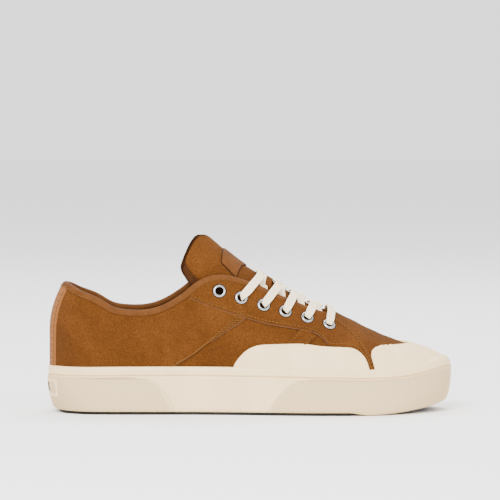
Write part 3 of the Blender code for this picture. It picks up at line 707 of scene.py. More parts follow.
def dense_ends(count, reach=0.03, extra=5):
    """Shares from 0 to 1 at even steps, with extra steps close to both ends."""
    fine = reach * np.array([0.02, 0.05, 0.1, 0.2, 0.45])[:extra]
    return np.concatenate([[0], fine, np.linspace(reach, 1 - reach, count), 1 - fine[::-1], [1]])


def resample(line, at):
    """Points of a line of angle and turn at shares of its own length over the last."""
    run = lengths_along(last_at(line[:, 0], line[:, 1]))
    run /= run[-1]
    return np.stack([np.interp(at, run, line[:, i]) for i in range(2)], axis=-1)


def side_line(rows, count=160):
    """Angles and turns along a table's outline on the outer side."""
    along, up = run_through(rows, count, "along", "up")
    return np.stack(on_side(along, up), axis=-1)


def stitches(name, lines, pitch, stitch=1.9 * MM, thread=0.92 * MM):
    """Rows of thread: each stitch is a bent six-sided bar whose middle stands up and whose ends sink in."""
    along = np.array([-0.5, -0.36, 0.0, 0.36, 0.5]) * stitch
    thick = np.array([0.35, 0.85, 1.0, 0.85, 0.35]) * thread / 2
    rise = np.array([-0.55, 0.15, 0.42, 0.15, -0.55]) * thread
    angle = np.arange(6) * np.pi / 3
    bars = []
    for points, normals in lines:
        run = lengths_along(points)
        middle = np.arange(pitch / 2, run[-1], pitch)[:, None] + along
        at = np.stack([np.interp(middle, run, points[:, i]) for i in range(3)], axis=-1)
        out = np.stack([np.interp(middle, run, normals[:, i]) for i in range(3)], axis=-1)
        ahead = at[:, -1:] - at[:, :1]
        ahead = np.broadcast_to(ahead / np.linalg.norm(ahead, axis=-1, keepdims=True), at.shape)
        wide = np.cross(ahead, out)
        wide /= np.linalg.norm(wide, axis=-1, keepdims=True)
        out = np.cross(wide, ahead)
        centre = at + out * rise[:, None]
        spread = wide[..., None, :] * np.cos(angle)[:, None] + out[..., None, :] * np.sin(angle)[:, None]
        bars.append(centre[..., None, :] + spread * thick[:, None, None])
    bars = np.concatenate(bars)
    side = tube_faces(5, 6)
    faces = (side + (np.arange(len(bars)) * 30)[:, None, None]).reshape(-1, 4)
    return add_piece(name, bars, faces, finish("thread"))


def seam(line, lift, start=0.0, end=1.0):
    """Points and normals for a row of stitches along a line of angle and turn."""
    part = resample(line, np.linspace(start, end, 240))
    return skin(part[:, 0], part[:, 1], lift)


def sweep(name, path, out, profile, material, nodes=(), scale=None, flat_map=False):
    """A profile carried along a path: each ring is the point plus the profile's two shares along the
    outward direction and the direction across it. profile is (corners, 2) or one per path point. The map
    runs along the path and round the profile, or straight across it where flat_map is set."""
    ahead = np.gradient(path, axis=0)
    ahead /= np.linalg.norm(ahead, axis=-1, keepdims=True)
    across = np.cross(out, ahead)
    across /= np.linalg.norm(across, axis=-1, keepdims=True)
    out = np.cross(ahead, across)
    profile = np.broadcast_to(profile, (len(path),) + np.shape(profile)[-2:])
    if scale is not None:
        profile = profile * np.reshape(scale, (-1, 1, 1))
    rings = path[:, None] + out[:, None] * profile[..., :1] + across[:, None] * profile[..., 1:]
    run = lengths_along(path)
    around = np.concatenate([[0], lengths_along(profile[0])[1:]])
    uv = np.stack(np.broadcast_arrays(run[:, None], around), axis=-1)
    if flat_map:
        uv[..., 1] = profile[..., 1]
    return add_piece(name, rings, tube_faces(len(path), rings.shape[1]), material, nodes, uv)


def oval(width, height, corners=16, power=0.62):
    """A flat rounded section: sine and cosine to a power, so that its long sides are nearly straight."""
    angle = (np.arange(corners) + 0.5) * 2 * np.pi / corners
    bulge = np.sign(np.sin(angle)) * np.abs(np.sin(angle)) ** power * height / 2
    reach = np.sign(np.cos(angle)) * np.abs(np.cos(angle)) ** power * width / 2
    return np.stack([bulge, reach], axis=-1)


def blank(name, colour, rough, metal=0.0, **sockets):
    """A material whose uniform numbers are set on its shader's own sockets."""
    made = bpy.data.materials.new(name)
    made.use_nodes = True
    shader = made.node_tree.nodes["Principled BSDF"]
    shader.inputs["Base Color"].default_value = (*colour, 1)
    shader.inputs["Roughness"].default_value = rough
    shader.inputs["Metallic"].default_value = metal
    for socket, value in sockets.items():
        shader.inputs[socket.replace("_", " ").title().replace("Ior", "IOR")].default_value = value
    return made


class Weave:
    """Short words for wiring one material's nodes."""

    def __init__(self, made, by_uv=False):
        self.tree = made.node_tree
        self.shader = self.tree.nodes["Principled BSDF"]
        self.place = self.add("TexCoord").outputs["UV" if by_uv else "Object"]

    def add(self, kind, **values):
        node = self.tree.nodes.new("ShaderNode" + kind)
        for name, value in values.items():
            setattr(node, name, value)
        return node

    def join(self, source, socket):
        self.tree.links.new(source, socket)

    def noise(self, scale, detail=3.0, twist=0.0, rough=0.55):
        node = self.add("TexNoise")
        self.join(self.place, node.inputs["Vector"])
        node.inputs["Scale"].default_value = scale
        node.inputs["Detail"].default_value = detail
        node.inputs["Roughness"].default_value = rough
        node.inputs["Distortion"].default_value = twist
        return node.outputs["Fac"]

    def waves(self, scale, direction):
        node = self.add("TexWave", wave_type="BANDS", bands_direction=direction, wave_profile="SIN")
        self.join(self.place, node.inputs["Vector"])
        node.inputs["Scale"].default_value = scale
        return node.outputs["Fac"]

    def maths(self, operation, a, b):
        node = self.add("Math", operation=operation)
        for socket, value in zip(node.inputs, (a, b)):
            if isinstance(value, (int, float)):
                socket.default_value = value
            else:
                self.join(value, socket)
        return node.outputs[0]

    def ramp(self, source, *stops):
        node = self.add("ValToRGB")
        self.join(source, node.inputs["Fac"])
        bar = node.color_ramp.elements
        while len(bar) < len(stops):
            bar.new(0.5)
        for element, (position, colour) in zip(bar, stops):
            element.position = position
            element.color = (*colour, 1)
        return node.outputs["Color"]

    def times(self, a, b):
        node = self.add("Mix", data_type="RGBA", blend_type="MULTIPLY")
        node.inputs[0].default_value = 1.0
        self.join(a, node.inputs[6])
        self.join(b, node.inputs[7])
        return node.outputs[2]

    def sum_of(self, a, share, b):
        """share of a and the rest of b."""
        return self.maths("ADD", self.maths("MULTIPLY", a, share), self.maths("MULTIPLY", b, 1 - share))

    def colour(self, source):
        self.join(source, self.shader.inputs["Base Color"])

    def gloss(self, scale, low, high):
        """Roughness that wanders between two values."""
        node = self.add("MapRange")
        self.join(self.noise(scale, 3), node.inputs["Value"])
        node.inputs["To Min"].default_value = low
        node.inputs["To Max"].default_value = high
        self.join(node.outputs["Result"], self.shader.inputs["Roughness"])

    def bump(self, height, deep, strength=1.0, under=None):
        node = self.add("Bump")
        node.inputs["Strength"].default_value = strength
        node.inputs["Distance"].default_value = deep
        self.join(height, node.inputs["Height"])
        if under is not None:
            self.join(under, node.inputs["Normal"])
        self.join(node.outputs["Normal"], self.shader.inputs["Normal"])
        return node.outputs["Normal"]


def tones(colour, factor):
    """A colour made lighter or darker by a factor."""
    return tuple(min(channel * factor, 1.0) for channel in colour[:3])


def suede(name, colour):
    """Napped suede: clouds of nap brushed either way, a fine fibre grain and a soft sheen."""
    made = blank(name, colour, 0.95, sheen_weight=0.03, sheen_roughness=0.5, specular_ior_level=0.03)
    w = Weave(made)
    w.shader.inputs["Sheen Tint"].default_value = (1.0, 0.72, 0.42, 1)
    clouds = w.sum_of(w.noise(26, 3, 0.9), 0.8, w.noise(120, 4, 0.8))
    stops = ((0.36, 0.86), (0.50, 1.0), (0.64, 1.17))
    base = w.ramp(clouds, *((place, tones(colour, share)) for place, share in stops))
    grain = w.noise(2200, 3, 0.0, 0.7)
    nap = w.sum_of(w.noise(1300, 2, 0.2, 0.6), 0.6, grain)
    fibre = w.ramp(nap, (0.36, (0.62,) * 3), (0.5, (1.0,) * 3), (0.64, (1.48,) * 3))
    w.colour(w.times(base, fibre))
    soft = w.bump(w.noise(160, 3, 0.4), 0.0012, 0.25)
    w.bump(grain, 0.0003, 0.55, soft)
    return made


def rubber(name, colour, rough, tint=0.06):
    """Moulded rubber: almost even, with a faint cloud of colour and a very fine skin."""
    made = blank(name, colour, rough, specular_ior_level=0.42)
    w = Weave(made)
    cloud = w.noise(45, 4, 0.5)
    w.colour(w.ramp(cloud, (0.35, tones(colour, 1 - tint)), (0.65, tones(colour, 1 + tint * 0.4))))
    w.gloss(90, rough - 0.06, rough + 0.10)
    w.bump(w.noise(1500, 3), 0.00018, 0.35)
    return made


def moulded_with_painted_shade(name, colour):
    """Rubber with painted shade: its valleys are darker than its ridges, and a thin line along its edge
    darkest, read from the level kept in the piece's own map.
    """
    made = blank(name, colour, 0.6, specular_ior_level=0.35)
    w = Weave(made, by_uv=True)
    parts = w.add("SeparateXYZ")
    w.join(w.place, parts.inputs[0])
    # Painted shade: low map values, at the edge line and in the valleys, get darker tones than the ridges.
    stops = ((0.0, 0.55), (0.25, 0.60), (1.0, 1.04))
    w.colour(w.ramp(parts.outputs[0], *((place, tones(colour, share)) for place, share in stops)))
    return made


def pebbled(name, colour):
    """The side guard's coated rubber, with a fine pebble."""
    made = blank(name, colour, 0.62, specular_ior_level=0.35)
    w = Weave(made)
    cells = w.add("TexVoronoi", feature="SMOOTH_F1")
    w.join(w.place, cells.inputs["Vector"])
    cells.inputs["Scale"].default_value = 900
    w.colour(w.ramp(w.noise(60, 4), (0.35, tones(colour, 0.94)), (0.65, tones(colour, 1.02))))
    w.bump(cells.outputs["Distance"], 0.00035, 0.5)
    return made


def smooth_leather(name, colour):
    """Smooth edging leather: small grain, a little gloss, lighter where it is rubbed."""
    made = blank(name, colour, 0.66, specular_ior_level=0.08)
    w = Weave(made)
    w.colour(w.ramp(w.noise(150, 4, 0.4), (0.34, tones(colour, 0.86)), (0.66, tones(colour, 1.14))))
    w.bump(w.noise(1400, 4), 0.0002, 0.4)
    return made


def knit(name, colour):
    """Dark lining cloth: a fine knit of crossing waves with a felted surface."""
    made = blank(name, colour, 0.95, specular_ior_level=0.05)
    w = Weave(made)
    mesh = w.maths("MULTIPLY", w.waves(420, "X"), w.waves(420, "Z"))
    felt = w.maths("ADD", w.maths("MULTIPLY", mesh, 0.5), w.noise(200, 3))
    w.colour(w.ramp(felt, (0.3, tones(colour, 0.6)), (0.9, tones(colour, 1.35))))
    w.bump(mesh, 0.0003, 0.5)
    return made


def woven(name, colour, along, across, deep=0.0003, shade=0.82):
    """Woven tape or lace read from the piece's own map in metres: along and across are threads a metre."""
    made = blank(name, colour, 0.9, sheen_weight=0.02, specular_ior_level=0.1)
    w = Weave(made, by_uv=True)
    threads = w.maths("MULTIPLY", w.waves(along * 0.05, "X"), w.waves(across * 0.05, "Y"))
    w.colour(w.ramp(threads, (0.05, tones(colour, shade)), (0.6, tones(colour, 1.0))))
    w.bump(threads, deep, 0.6)
    return made


def nickel(name, colour):
    """Plated eyelet metal with faint brushing."""
    made = blank(name, colour, 0.2, 1.0)
    Weave(made).gloss(700, 0.12, 0.32)
    return made


def finish(kind):
    """The material of that kind, made on first use from the colours in the sidebar."""
    name = "dressed_" + kind
    if name in bpy.data.materials:
        return bpy.data.materials[name]
    look = bpy.context.scene.skate_shoe_colours
    makers = {
        "suede": lambda: suede(name, look.suede),
        "cream_rubber": lambda: rubber(name, look.rubber, 0.48),
        "textured_rubber_painted_shade": lambda: moulded_with_painted_shade(name, look.rubber),
        "guard_rubber": lambda: pebbled(name, look.rubber),
        "black_rubber": lambda: rubber(name, look.outsole, 0.7, tint=0.2),
        "edging": lambda: smooth_leather(name, look.edging),
        "label_leather": lambda: smooth_leather(name, look.label),
        "lining": lambda: knit(name, look.lining),
        "webbing": lambda: woven(name, look.webbing, 1400, 900),
        "lace_weave": lambda: woven(name, look.lace, 1250, 1150, 0.00022, 0.86),
        "thread": lambda: woven(name, look.thread, 2400, 1200),
        "shade": lambda: blank(name, look.hollow, 1.0, specular_ior_level=0.0),
        "dark_edge": lambda: smooth_leather(name, tones(look.lining, 1.3)),
        "ribbed_rim": lambda: knit(name, tones(look.lining, 2.3)),
        "raw_edge": lambda: smooth_leather(name, look.cut),
        "nickel": lambda: nickel(name, look.metal),
    }
    return makers[kind]()


def aim(data, name, place, target):
    """A lamp or camera at a place, looking at a target."""
    holder = bpy.data.objects.new(name, data)
    holder.location = place
    holder.rotation_euler = (target - place).to_track_quat("-Z", "Y").to_euler()
    bpy.context.scene.collection.objects.link(holder)
    return holder


def build_stage(settings):
    """A pale floor, a white room, soft lamps and the camera at the photograph's angle."""
    bpy.ops.mesh.primitive_circle_add(vertices=96, radius=settings.floor_radius, fill_type="NGON")
    floor = bpy.context.object
    floor.name = "studio_floor"
    pale = blank("pale_floor", settings.floor_colour, 0.9, specular_ior_level=0.1)
    w = Weave(pale)
    stops = ((0.3, tones(settings.floor_colour, 0.995)), (0.7, tuple(settings.floor_colour)))
    w.colour(w.ramp(w.noise(2.0, 2), *stops))
    floor.data.materials.append(pale)

    world = bpy.context.scene.world or bpy.data.worlds.new("studio")
    bpy.context.scene.world = world
    world.use_nodes = True
    sky = world.node_tree.nodes["Background"]
    sky.inputs["Color"].default_value = (1.0, 1.0, 1.0, 1)
    sky.inputs["Strength"].default_value = settings.room_light

    lamps = (
        ("key_lamp", (-0.50, -1.50, 1.35), 1.3, settings.key_light),
        ("fill_lamp", (1.30, -1.30, 0.90), 1.4, settings.key_light * 0.20),
        ("back_lamp", (0.20, 0.90, 1.60), 1.4, settings.key_light * 0.45),
    )
    for name, place, size, power in lamps:
        lamp = bpy.data.lights.new(name, "AREA")
        lamp.shape = "DISK"
        lamp.size = size
        lamp.energy = power
        aim(lamp, name, Vector(place), Vector((0, 0, 0.05)))

    camera = bpy.data.cameras.new("photo_camera")
    camera.lens = camera.sensor_width * settings.distance / settings.view_width
    camera.clip_end = 50
    turn, rise = math.radians(settings.azimuth), math.radians(settings.elevation)
    target = Vector((settings.aim_x, 0.0, settings.aim_z))
    way = Vector((math.sin(turn) * math.cos(rise), -math.cos(turn) * math.cos(rise), math.sin(rise)))
    bpy.context.scene.camera = aim(camera, "photo_camera", target + way * settings.distance, target)


def closed_ring(count):
    """Angles once round the shoe, placed evenly to both sides of the heel's and the toe's middle."""
    return (np.arange(count) + 0.5) * 2 * np.pi / count


def build_midsole(settings):
    """The foxing: rings of the side wall's profile, then the lip that leans on the upper, and the footbed."""
    phi = closed_ring(settings.ring_columns)
    along, _ = ring_place(phi)
    ups = FOXING_SIDE["up"]
    ups = np.unique(np.concatenate([ups, (ups[1:] + ups[:-1]) / 2]))
    wall = [foxing_at(phi, up) for up in ups]
    low = wall[0].copy()
    low[:, :2] = outline(phi, 16 * MM)
    top = SOLE_HEIGHT * smooth(FOXING_TOP, "height", along)
    lip, _ = skin(phi, np.minimum(turn_at(phi, top - 0.9 * MM), 0.96), -0.5 * MM, False)
    lip[:, 2] = np.minimum(lip[:, 2], top - 0.5 * MM)
    bed_height = np.full(len(phi), FOOTBED_HEIGHT + 0.1 * MM)
    bed = np.column_stack([outline(phi, UPPER_INSET + 0.4 * WALL), bed_height])
    rings = np.array([low, *wall, lip, bed])
    faces = tube_faces(len(rings), len(phi))
    add_piece("foxing", rings, faces, finish("cream_rubber"), ("midsole",))


def wall_plate(name, phi, up, lift, root, kind, nodes=(), uv=None):
    """A closed plate on the side wall: the wall moved out by lift, over an underside sunk by root."""
    both = np.concatenate([foxing_at(phi, up, lift), foxing_at(phi, up, -root)])
    return add_piece(name, both, shell_faces(*phi.shape), finish(kind), nodes, uv)


def build_bumper(name, node, rows, middle, around):
    """A textured strip round the angle middle, with ridges that cross at two slants. Its map holds a painted
    shade
    level from the height of the ridges: the valleys darker, and a thin line along its edge darkest."""
    ups = np.linspace(0.012, BUMPER_TOP, 62)
    edge = angle_of(smooth(rows, "along", ups, "up"))
    share = dense_ends(around, 0.012, 4)
    phi = edge[:, None] + (middle - edge)[:, None] * 2 * share
    up = np.broadcast_to(ups[:, None], phi.shape)
    base = foxing_at(phi, up)
    rise = lengths_along(np.swapaxes(base, 0, 1)).T
    away = np.minimum(edges_away(base, (True, True, False, True)), rise + 0.6 * MM)
    i = np.arange(phi.shape[1])
    j = np.arange(phi.shape[0])[:, None]
    ridge = 0.62 * ((i + j) % 3 == 0) + 0.38 * ((i - j) % 3 == 0)
    inside = np.clip((away - 0.9 * MM) / (0.6 * MM), 0, 1)
    lift = -0.35 * MM + 1.25 * MM * rounded(away, 0.45 * MM) + 0.42 * MM * (ridge - 0.4) * inside
    # Painted shade: 0 makes a darkest line along the edge, and the valleys between ridges get lower values
    # than the ridges.
    level = np.where(away < 0.35 * MM, 0.0, np.where(inside > 0, 0.25 + 0.75 * ridge, 0.8))
    uv = np.stack([level, level], axis=-1)
    uv = np.concatenate([uv, uv])
    wall_plate(name, phi, up, lift, 0.9 * MM, "textured_rubber_painted_shade", (node,), uv)


def build_badge():
    """The plate at the heel: a raised frame round a bare field, with a plain brown bar let into it."""
    phi, up = np.meshgrid(np.linspace(-0.30, 0.30, 61), np.linspace(0.30, 0.70, 41))
    away = edges_away(foxing_at(phi, up))
    field = np.clip((away - 1.5 * MM) / (0.5 * MM), 0, 1)
    lift = 0.3 * MM + 1.05 * MM * rounded(away, 0.5 * MM) * (1 - 0.55 * field)
    wall_plate("heel_plate", phi, up, lift, 0.2 * MM, "cream_rubber", ("heel_badge",))
    phi, up = phi[:, 14:47] * 0.62, 0.5 + (up[:, 14:47] - 0.5) * 0.52
    lift = 0.5 * MM + 0.75 * MM * rounded(edges_away(foxing_at(phi, up)), 0.8 * MM)
    wall_plate("heel_plate_bar", phi, up, lift, 0.2 * MM, "label_leather")


def floor_grid(inset, rows, columns, follow=0.0):
    """Plan places on a grid from heel to toe and from the outer to the inner edge, with the distance
    inwards."""
    angle = np.linspace(0.0, np.pi, rows)
    along, _ = ring_place(angle)
    inset = inset + tucked(angle, 0.0) * follow + 1.5 * MM * follow * np.clip((along - 0.72) / 0.05, 0, 1)
    outer, inner = outline(angle, inset), outline(-angle, inset)
    share = np.linspace(0, 1, columns)[None, :, None]
    place = outer[:, None] + (inner - outer)[:, None] * share
    width = np.linalg.norm(inner - outer, axis=-1)[:, None]
    away = np.minimum(share[..., 0], 1 - share[..., 0]) * width
    ends = LENGTH / 2 - np.abs(place[..., 0]) - np.max(inset)
    return place, np.minimum(away, np.maximum(ends, 0))


def build_outsole(settings):
    """The black tread: a flat rim round a field of small pyramids, six grid places to each."""
    place, away = floor_grid(OUTSOLE_MARGIN, settings.tread_rows, 97, 1.0)
    i = np.arange(place.shape[0])[:, None]
    j = np.arange(place.shape[1])
    peak = np.minimum(np.abs((i + j) % 6 - 3), np.abs((i - j) % 6 - 3)) / 3
    groove = 1.1 * MM * (1 - np.clip(peak * 2.2, 0, 1)) * np.clip((away - 5 * MM) / (0.8 * MM), 0, 1)
    rim = 0.7 * MM * (1 - rounded(away, 0.9 * MM))
    low = spring(place[..., 0])
    under = np.concatenate([place, (low + groove + rim)[..., None]], axis=-1)
    top = np.concatenate([place, (low + OUTSOLE_THICKNESS)[..., None]], axis=-1)
    points = np.concatenate([top, under])
    faces = shell_faces(*place.shape[:2])
    add_piece("tread", points, faces, finish("black_rubber"), ("outsole",))


def build_insole():
    """The footbed cloth: a thin slab whose edge curls up round the heel."""
    place, away = floor_grid(UPPER_INSET + WALL + 0.1 * MM, 120, 50)
    cup = np.clip(1 - away / (14 * MM), 0, 1) ** 2
    heel = np.clip((-place[..., 0] - 0.02) / 0.08, 0, 1)
    edge = rounded(away + 0.5 * MM, 1.5 * MM)
    top = FOOTBED_HEIGHT + 0.4 * MM + INSOLE_THICKNESS * edge + 2.2 * MM * cup * heel
    upper = np.concatenate([place, top[..., None]], axis=-1)
    under = np.concatenate([place, np.full(top.shape + (1,), FOOTBED_HEIGHT + 0.3 * MM)], axis=-1)
    points = np.concatenate([upper, under])
    add_piece("footbed", points, shell_faces(*place.shape[:2]), finish("lining"), ("insole",))


def sheet_between(name, grid, high, low, material, nodes=(), uv=None):
    """A closed sheet over a grid of angle and turn, between two lifts off the last."""
    top, _ = skin(grid[..., 0], grid[..., 1], high, False)
    under, _ = skin(grid[..., 0], grid[..., 1], low, False)
    if uv is not None:
        uv = np.concatenate([uv, uv])
    points = np.concatenate([top, under])
    return add_piece(name, points, shell_faces(*grid.shape[:2]), material, nodes, uv)


def line_in(grid, away):
    """In each row of a grid, the place at a distance from its first column."""
    run = lengths_along(last_at(grid[..., 0], grid[..., 1]))
    found = [[np.interp(away, r, row[:, 0]), np.interp(away, r, row[:, 1])] for r, row in zip(run, grid)]
    return np.array(found)


def edges_away(points, sides=(True, True, True, True)):
    """Distance of each point of a grid to its chosen borders: first and last column, first and last row."""
    run = lengths_along(points)
    rise = np.swapaxes(lengths_along(np.swapaxes(points, 0, 1)), 0, 1)
    away = np.full(run.shape, 1.0)
    for wanted, part in zip(sides, (run, run[:, -1:] - run, rise, rise[-1:] - rise)):
        if wanted:
            away = np.minimum(away, part)
    return away


def hollow_ring(name, grid, lifts, material, nodes=(), creased=True, foot=None):
    """A hollow wall round the whole shoe: rings from its lower to its upper border at one lift, then back
    down at another, open at the throat and welded along the ridge in front of it. foot is the height at
    which it starts, where that isn't under the foxing."""
    columns, rows_out, rows_in = grid
    out, inn = lifts
    phi = closed_ring(columns)
    low, top = low_turn(phi) if foot is None else turn_at(phi, foot), top_turn(phi)
    up = np.linspace(0, 1, rows_out)[:, None]
    down = np.linspace(1, 0, rows_in)[:, None]
    share = np.concatenate([up, np.ones((2, 1)), down])
    between = out + (inn - out) * np.array([0.3, 0.7])
    lift = np.concatenate([np.full(rows_out, out), between, np.full(rows_in, inn)])
    turn = low + (top - low) * share
    points, _ = skin(np.broadcast_to(phi, turn.shape), turn, lift[:, None], creased)
    rings = len(share)
    faces = grid_faces(rings, columns, closed=True).reshape(rings - 1, columns, 4)
    shut = (top >= 1) & (np.roll(top, -1) >= 1)
    rim = faces[rows_out - 1:rows_out + 2][:, ~shut]
    k = np.arange(columns)
    last = (rings - 1) * columns
    shut_foot = np.stack([last + k, last + (k + 1) % columns, (k + 1) % columns, k], axis=-1)
    parts = [faces[:rows_out - 1], rim, faces[rows_out + 2:], shut_foot]
    faces = np.concatenate([part.reshape(-1, 4) for part in parts])
    return add_piece(name, points, faces, material, nodes)


def build_upper():
    """The suede wall at the last's surface with its creases, and the lining cloth on its inner face."""
    suede_back, foot = -1.5 * MM, FOOTBED_HEIGHT + 2 * MM
    lining_face = suede_back + 0.05 * MM
    hollow_ring("vamp", (620, 66, 14), (0.0, suede_back), finish("suede"), ("upper",))
    cloth = finish("lining")
    hollow_ring("lining_wall", (300, 26, 20), (lining_face, -WALL), cloth, (), False, foot)


def quarter_grid(rows, columns):
    """Angles and turns over the rear quarter: from the outer front edge, round the heel, to the inner one."""
    edge = side_line(QUARTER_FRONT, 80)
    low, top = low_turn(edge[:, 0]), top_turn(edge[:, 0])
    height = (edge[:, 1] - low) / (top - low)
    share = np.linspace(0.0, 0.985, rows)[:, None]
    front = np.interp(share[:, 0], np.maximum.accumulate(height), edge[:, 0])[:, None]
    across = dense_ends(columns, 0.008)
    phi = front * (1 - 2 * across)
    turn = low_turn(phi) + (top_turn(phi) - low_turn(phi)) * share
    return np.stack([phi, turn], axis=-1)


def build_quarter(sizes):
    """The rear quarter: a second layer of suede, a step above the wall, with a rounded front edge."""
    grid = quarter_grid(44, 380)
    away = np.full(grid.shape[:2], 1.0)
    step = sizes.overlay * QUARTER_SHARE
    groove = ((2.0 * MM, 0.1 * MM, 0.5 * MM),)
    panel("quarter", grid, away, 0.0, step, finish("suede"), (), ("first", "last"), groove)


def stay_lines():
    """The lower and the upper border of the outer eyestay, matched point for point."""
    first, rest = np.linspace(0, 1, STAY_STEPS), np.linspace(0, 1, 80)[1:]
    low_rear, low_front = side_line(EYESTAY_LOWER), side_line(STAY_TAIL)
    along = np.linspace(EYESTAY_LOWER["along"][0], THROAT_FRONT, 200)
    edge = np.stack(on_side(along, smooth(TOP_LINE, "up", along)), axis=-1)
    ahead = np.linspace(THROAT_FRONT, THROAT_TIP, 40)
    tip = np.stack(on_side(ahead, smooth(TOP_LINE, "up", ahead)), axis=-1)
    front = side_line(EYESTAY_FRONT)[::-1]
    low = np.concatenate([resample(low_rear, first), resample(low_front, rest)])
    high = np.concatenate([resample(edge, first), resample(np.concatenate([tip, front]), rest)])
    return low, high


def build_eyestays(sizes):
    """Both eyestays: ladders between their lower edge and the throat, raised over wall and quarter."""
    low, high = stay_lines()
    groove = ((1.6 * MM, 0.14 * MM, 0.45 * MM),)
    for name, node, flip in (("stay_outer", "eyestay_lateral", 1), ("stay_inner", "eyestay_medial", -1)):
        grid, distance = ladder(low * [flip, 1], high * [flip, 1], 15)
        face = finish("suede")
        panel(name, grid, distance, PANEL_SEAT, sizes.overlay, face, (node,), ("first",), groove)


def guard_lines():
    """The guard's border under the foxing and its top edge."""
    high = side_line(GUARD_TOP, 200)
    along = np.linspace(GUARD_TOP["along"][0] + 0.002, GUARD_TOP["along"][-1] - 0.002, 200)
    phi = angle_of(along)
    return np.stack([phi, low_turn(phi)], axis=-1), high


def build_guard(sizes):
    """The pale side guard over the outer forefoot."""
    low, high = guard_lines()
    grid, distance = ladder(low, high, 13)
    lip = ((1.3 * MM, 0.12 * MM, 0.5 * MM),)
    rubber_face = finish("guard_rubber")
    nodes = ("lateral_guard",)
    panel("guard", grid, distance, PANEL_SEAT, sizes.overlay, rubber_face, nodes, dents=lip)


def build_cap(sizes):
    """The toe cap: each half is a patch blended between four borders, mirrored over the ridge, with a rounded
    rear edge."""
    edge = side_line(CAP_REAR, 160)
    corner = int(np.argmin(edge[:, 0]))
    rise = np.linspace(0, 1, 30)
    left = resample(edge[:corner + 1], rise)
    share = np.linspace(0, 1, 130) ** 1.1
    above = left[-1, 0] + (np.pi - left[-1, 0]) * share
    top = np.interp(above, edge[corner:, 0], edge[corner:, 1], right=1.0)
    top = np.where(above > edge[-1, 0], 1.0, top)
    below = left[0, 0] + (np.pi - left[0, 0]) * share
    bottom = np.stack([below, low_turn(below)], axis=-1)
    left[0] = bottom[0]
    over = np.stack([above, top], axis=-1)
    right = np.stack([np.full(30, np.pi), low_turn(np.pi) + (1 - low_turn(np.pi)) * rise], axis=-1)
    r, c = rise[:, None, None], share[None, :, None]
    grid = (1 - c) * left[:, None] + c * right[:, None] + (1 - r) * bottom + r * over
    grid -= (1 - r) * ((1 - c) * bottom[0] + c * bottom[-1]) + r * ((1 - c) * over[0] + c * over[-1])
    grid[-1, :, 1] = over[:, 1]
    mirrored = grid[:, -2::-1] * [-1, 1] + [2 * np.pi, 0]
    grid = np.concatenate([grid, mirrored], axis=1)
    places = last_at(grid[..., 0], grid[..., 1])
    border = last_at(edge[:, 0], edge[:, 1])
    border = np.concatenate([border, last_at(-edge[:, 0], edge[:, 1])])
    away = np.array([np.min(np.linalg.norm(p[:, None] - border, axis=-1), axis=1) for p in places])
    thick = sizes.overlay * 1.2
    groove = ((1.6 * MM, 0.15 * MM, 0.5 * MM),)
    rubber_face = finish("guard_rubber")
    panel("cap", grid, away, PANEL_SEAT, thick, rubber_face, ("toe_cap",), (), groove, False)


def build_side_band(sizes):
    """A narrow strip of suede over the seam between guard and eyestay."""
    along, up = run_through(SIDE_SEAM, 60, "along", "up")
    half = BAND_WIDTH / 2 / LENGTH
    low = np.stack(on_side(along - half, up + BAND_SLANT), axis=-1)
    high = np.stack(on_side(along + half, up - BAND_SLANT), axis=-1)
    grid, distance = ladder(low, high, 5)
    panel("side_band", grid, distance, 0.1 * MM, sizes.overlay * BAND_SHARE, finish("suede"))


def heel_angle(y, z):
    """The angle round the heel at which the last stands y off its middle line at height z."""
    near = np.linspace(-0.9, 0.9, 240)
    across = last_at(near, turn_at(near, z))[:, 1]
    return np.interp(y, across[::-1], near[::-1])


def build_tape(sizes):
    """The webbing over the heel seam: level ribs as a cosine of the height, between two plain selvedges."""
    z = np.arange(SOLE_HEIGHT - 3 * MM, SOLE_HEIGHT + COLLAR_RISE - 2.2 * MM, TAPE_STEP)
    y = np.linspace(-TAPE_WIDTH / 2, TAPE_WIDTH / 2, 41)
    phi = np.array([heel_angle(y, height) for height in z])
    grid = np.stack([phi, turn_at(phi, z[:, None])], axis=-1)
    points = last_at(phi, grid[..., 1])
    away = edges_away(points, (True, True, False, False))
    inside = np.clip((away - 1.2 * MM) / (0.6 * MM), 0, 1)
    rib = 0.17 * MM * np.cos(2 * np.pi * z / RIB_PITCH)[:, None] * inside
    lift = sizes.overlay * QUARTER_SHARE + 0.1 * MM + 0.8 * MM * rounded(away, 0.5 * MM) + rib
    uv = np.stack([np.broadcast_to(z[:, None], phi.shape), np.broadcast_to(y, phi.shape)], axis=-1)
    sheet_between("heel_webbing", grid, lift, 0.2 * MM, finish("webbing"), ("heel_tape",), uv)


def collar_path():
    """Points and normals round the collar and down both sides of the throat, inner side first."""
    phi_end = angle_of(THROAT_END)
    phi = np.linspace(-phi_end, phi_end, 700)
    points, normals = skin(phi, top_turn(phi), 0.0, False)
    run = lengths_along(points)
    even = np.linspace(0, run[-1], 420)
    points = np.stack([np.interp(even, run, points[:, i]) for i in range(3)], axis=-1)
    normals = np.stack([np.interp(even, run, normals[:, i]) for i in range(3)], axis=-1)
    for _ in range(3):
        normals[1:-1] = (normals[:-2] + 2 * normals[1:-1] + normals[2:]) / 4
    return points, normals / np.linalg.norm(normals, axis=-1, keepdims=True)


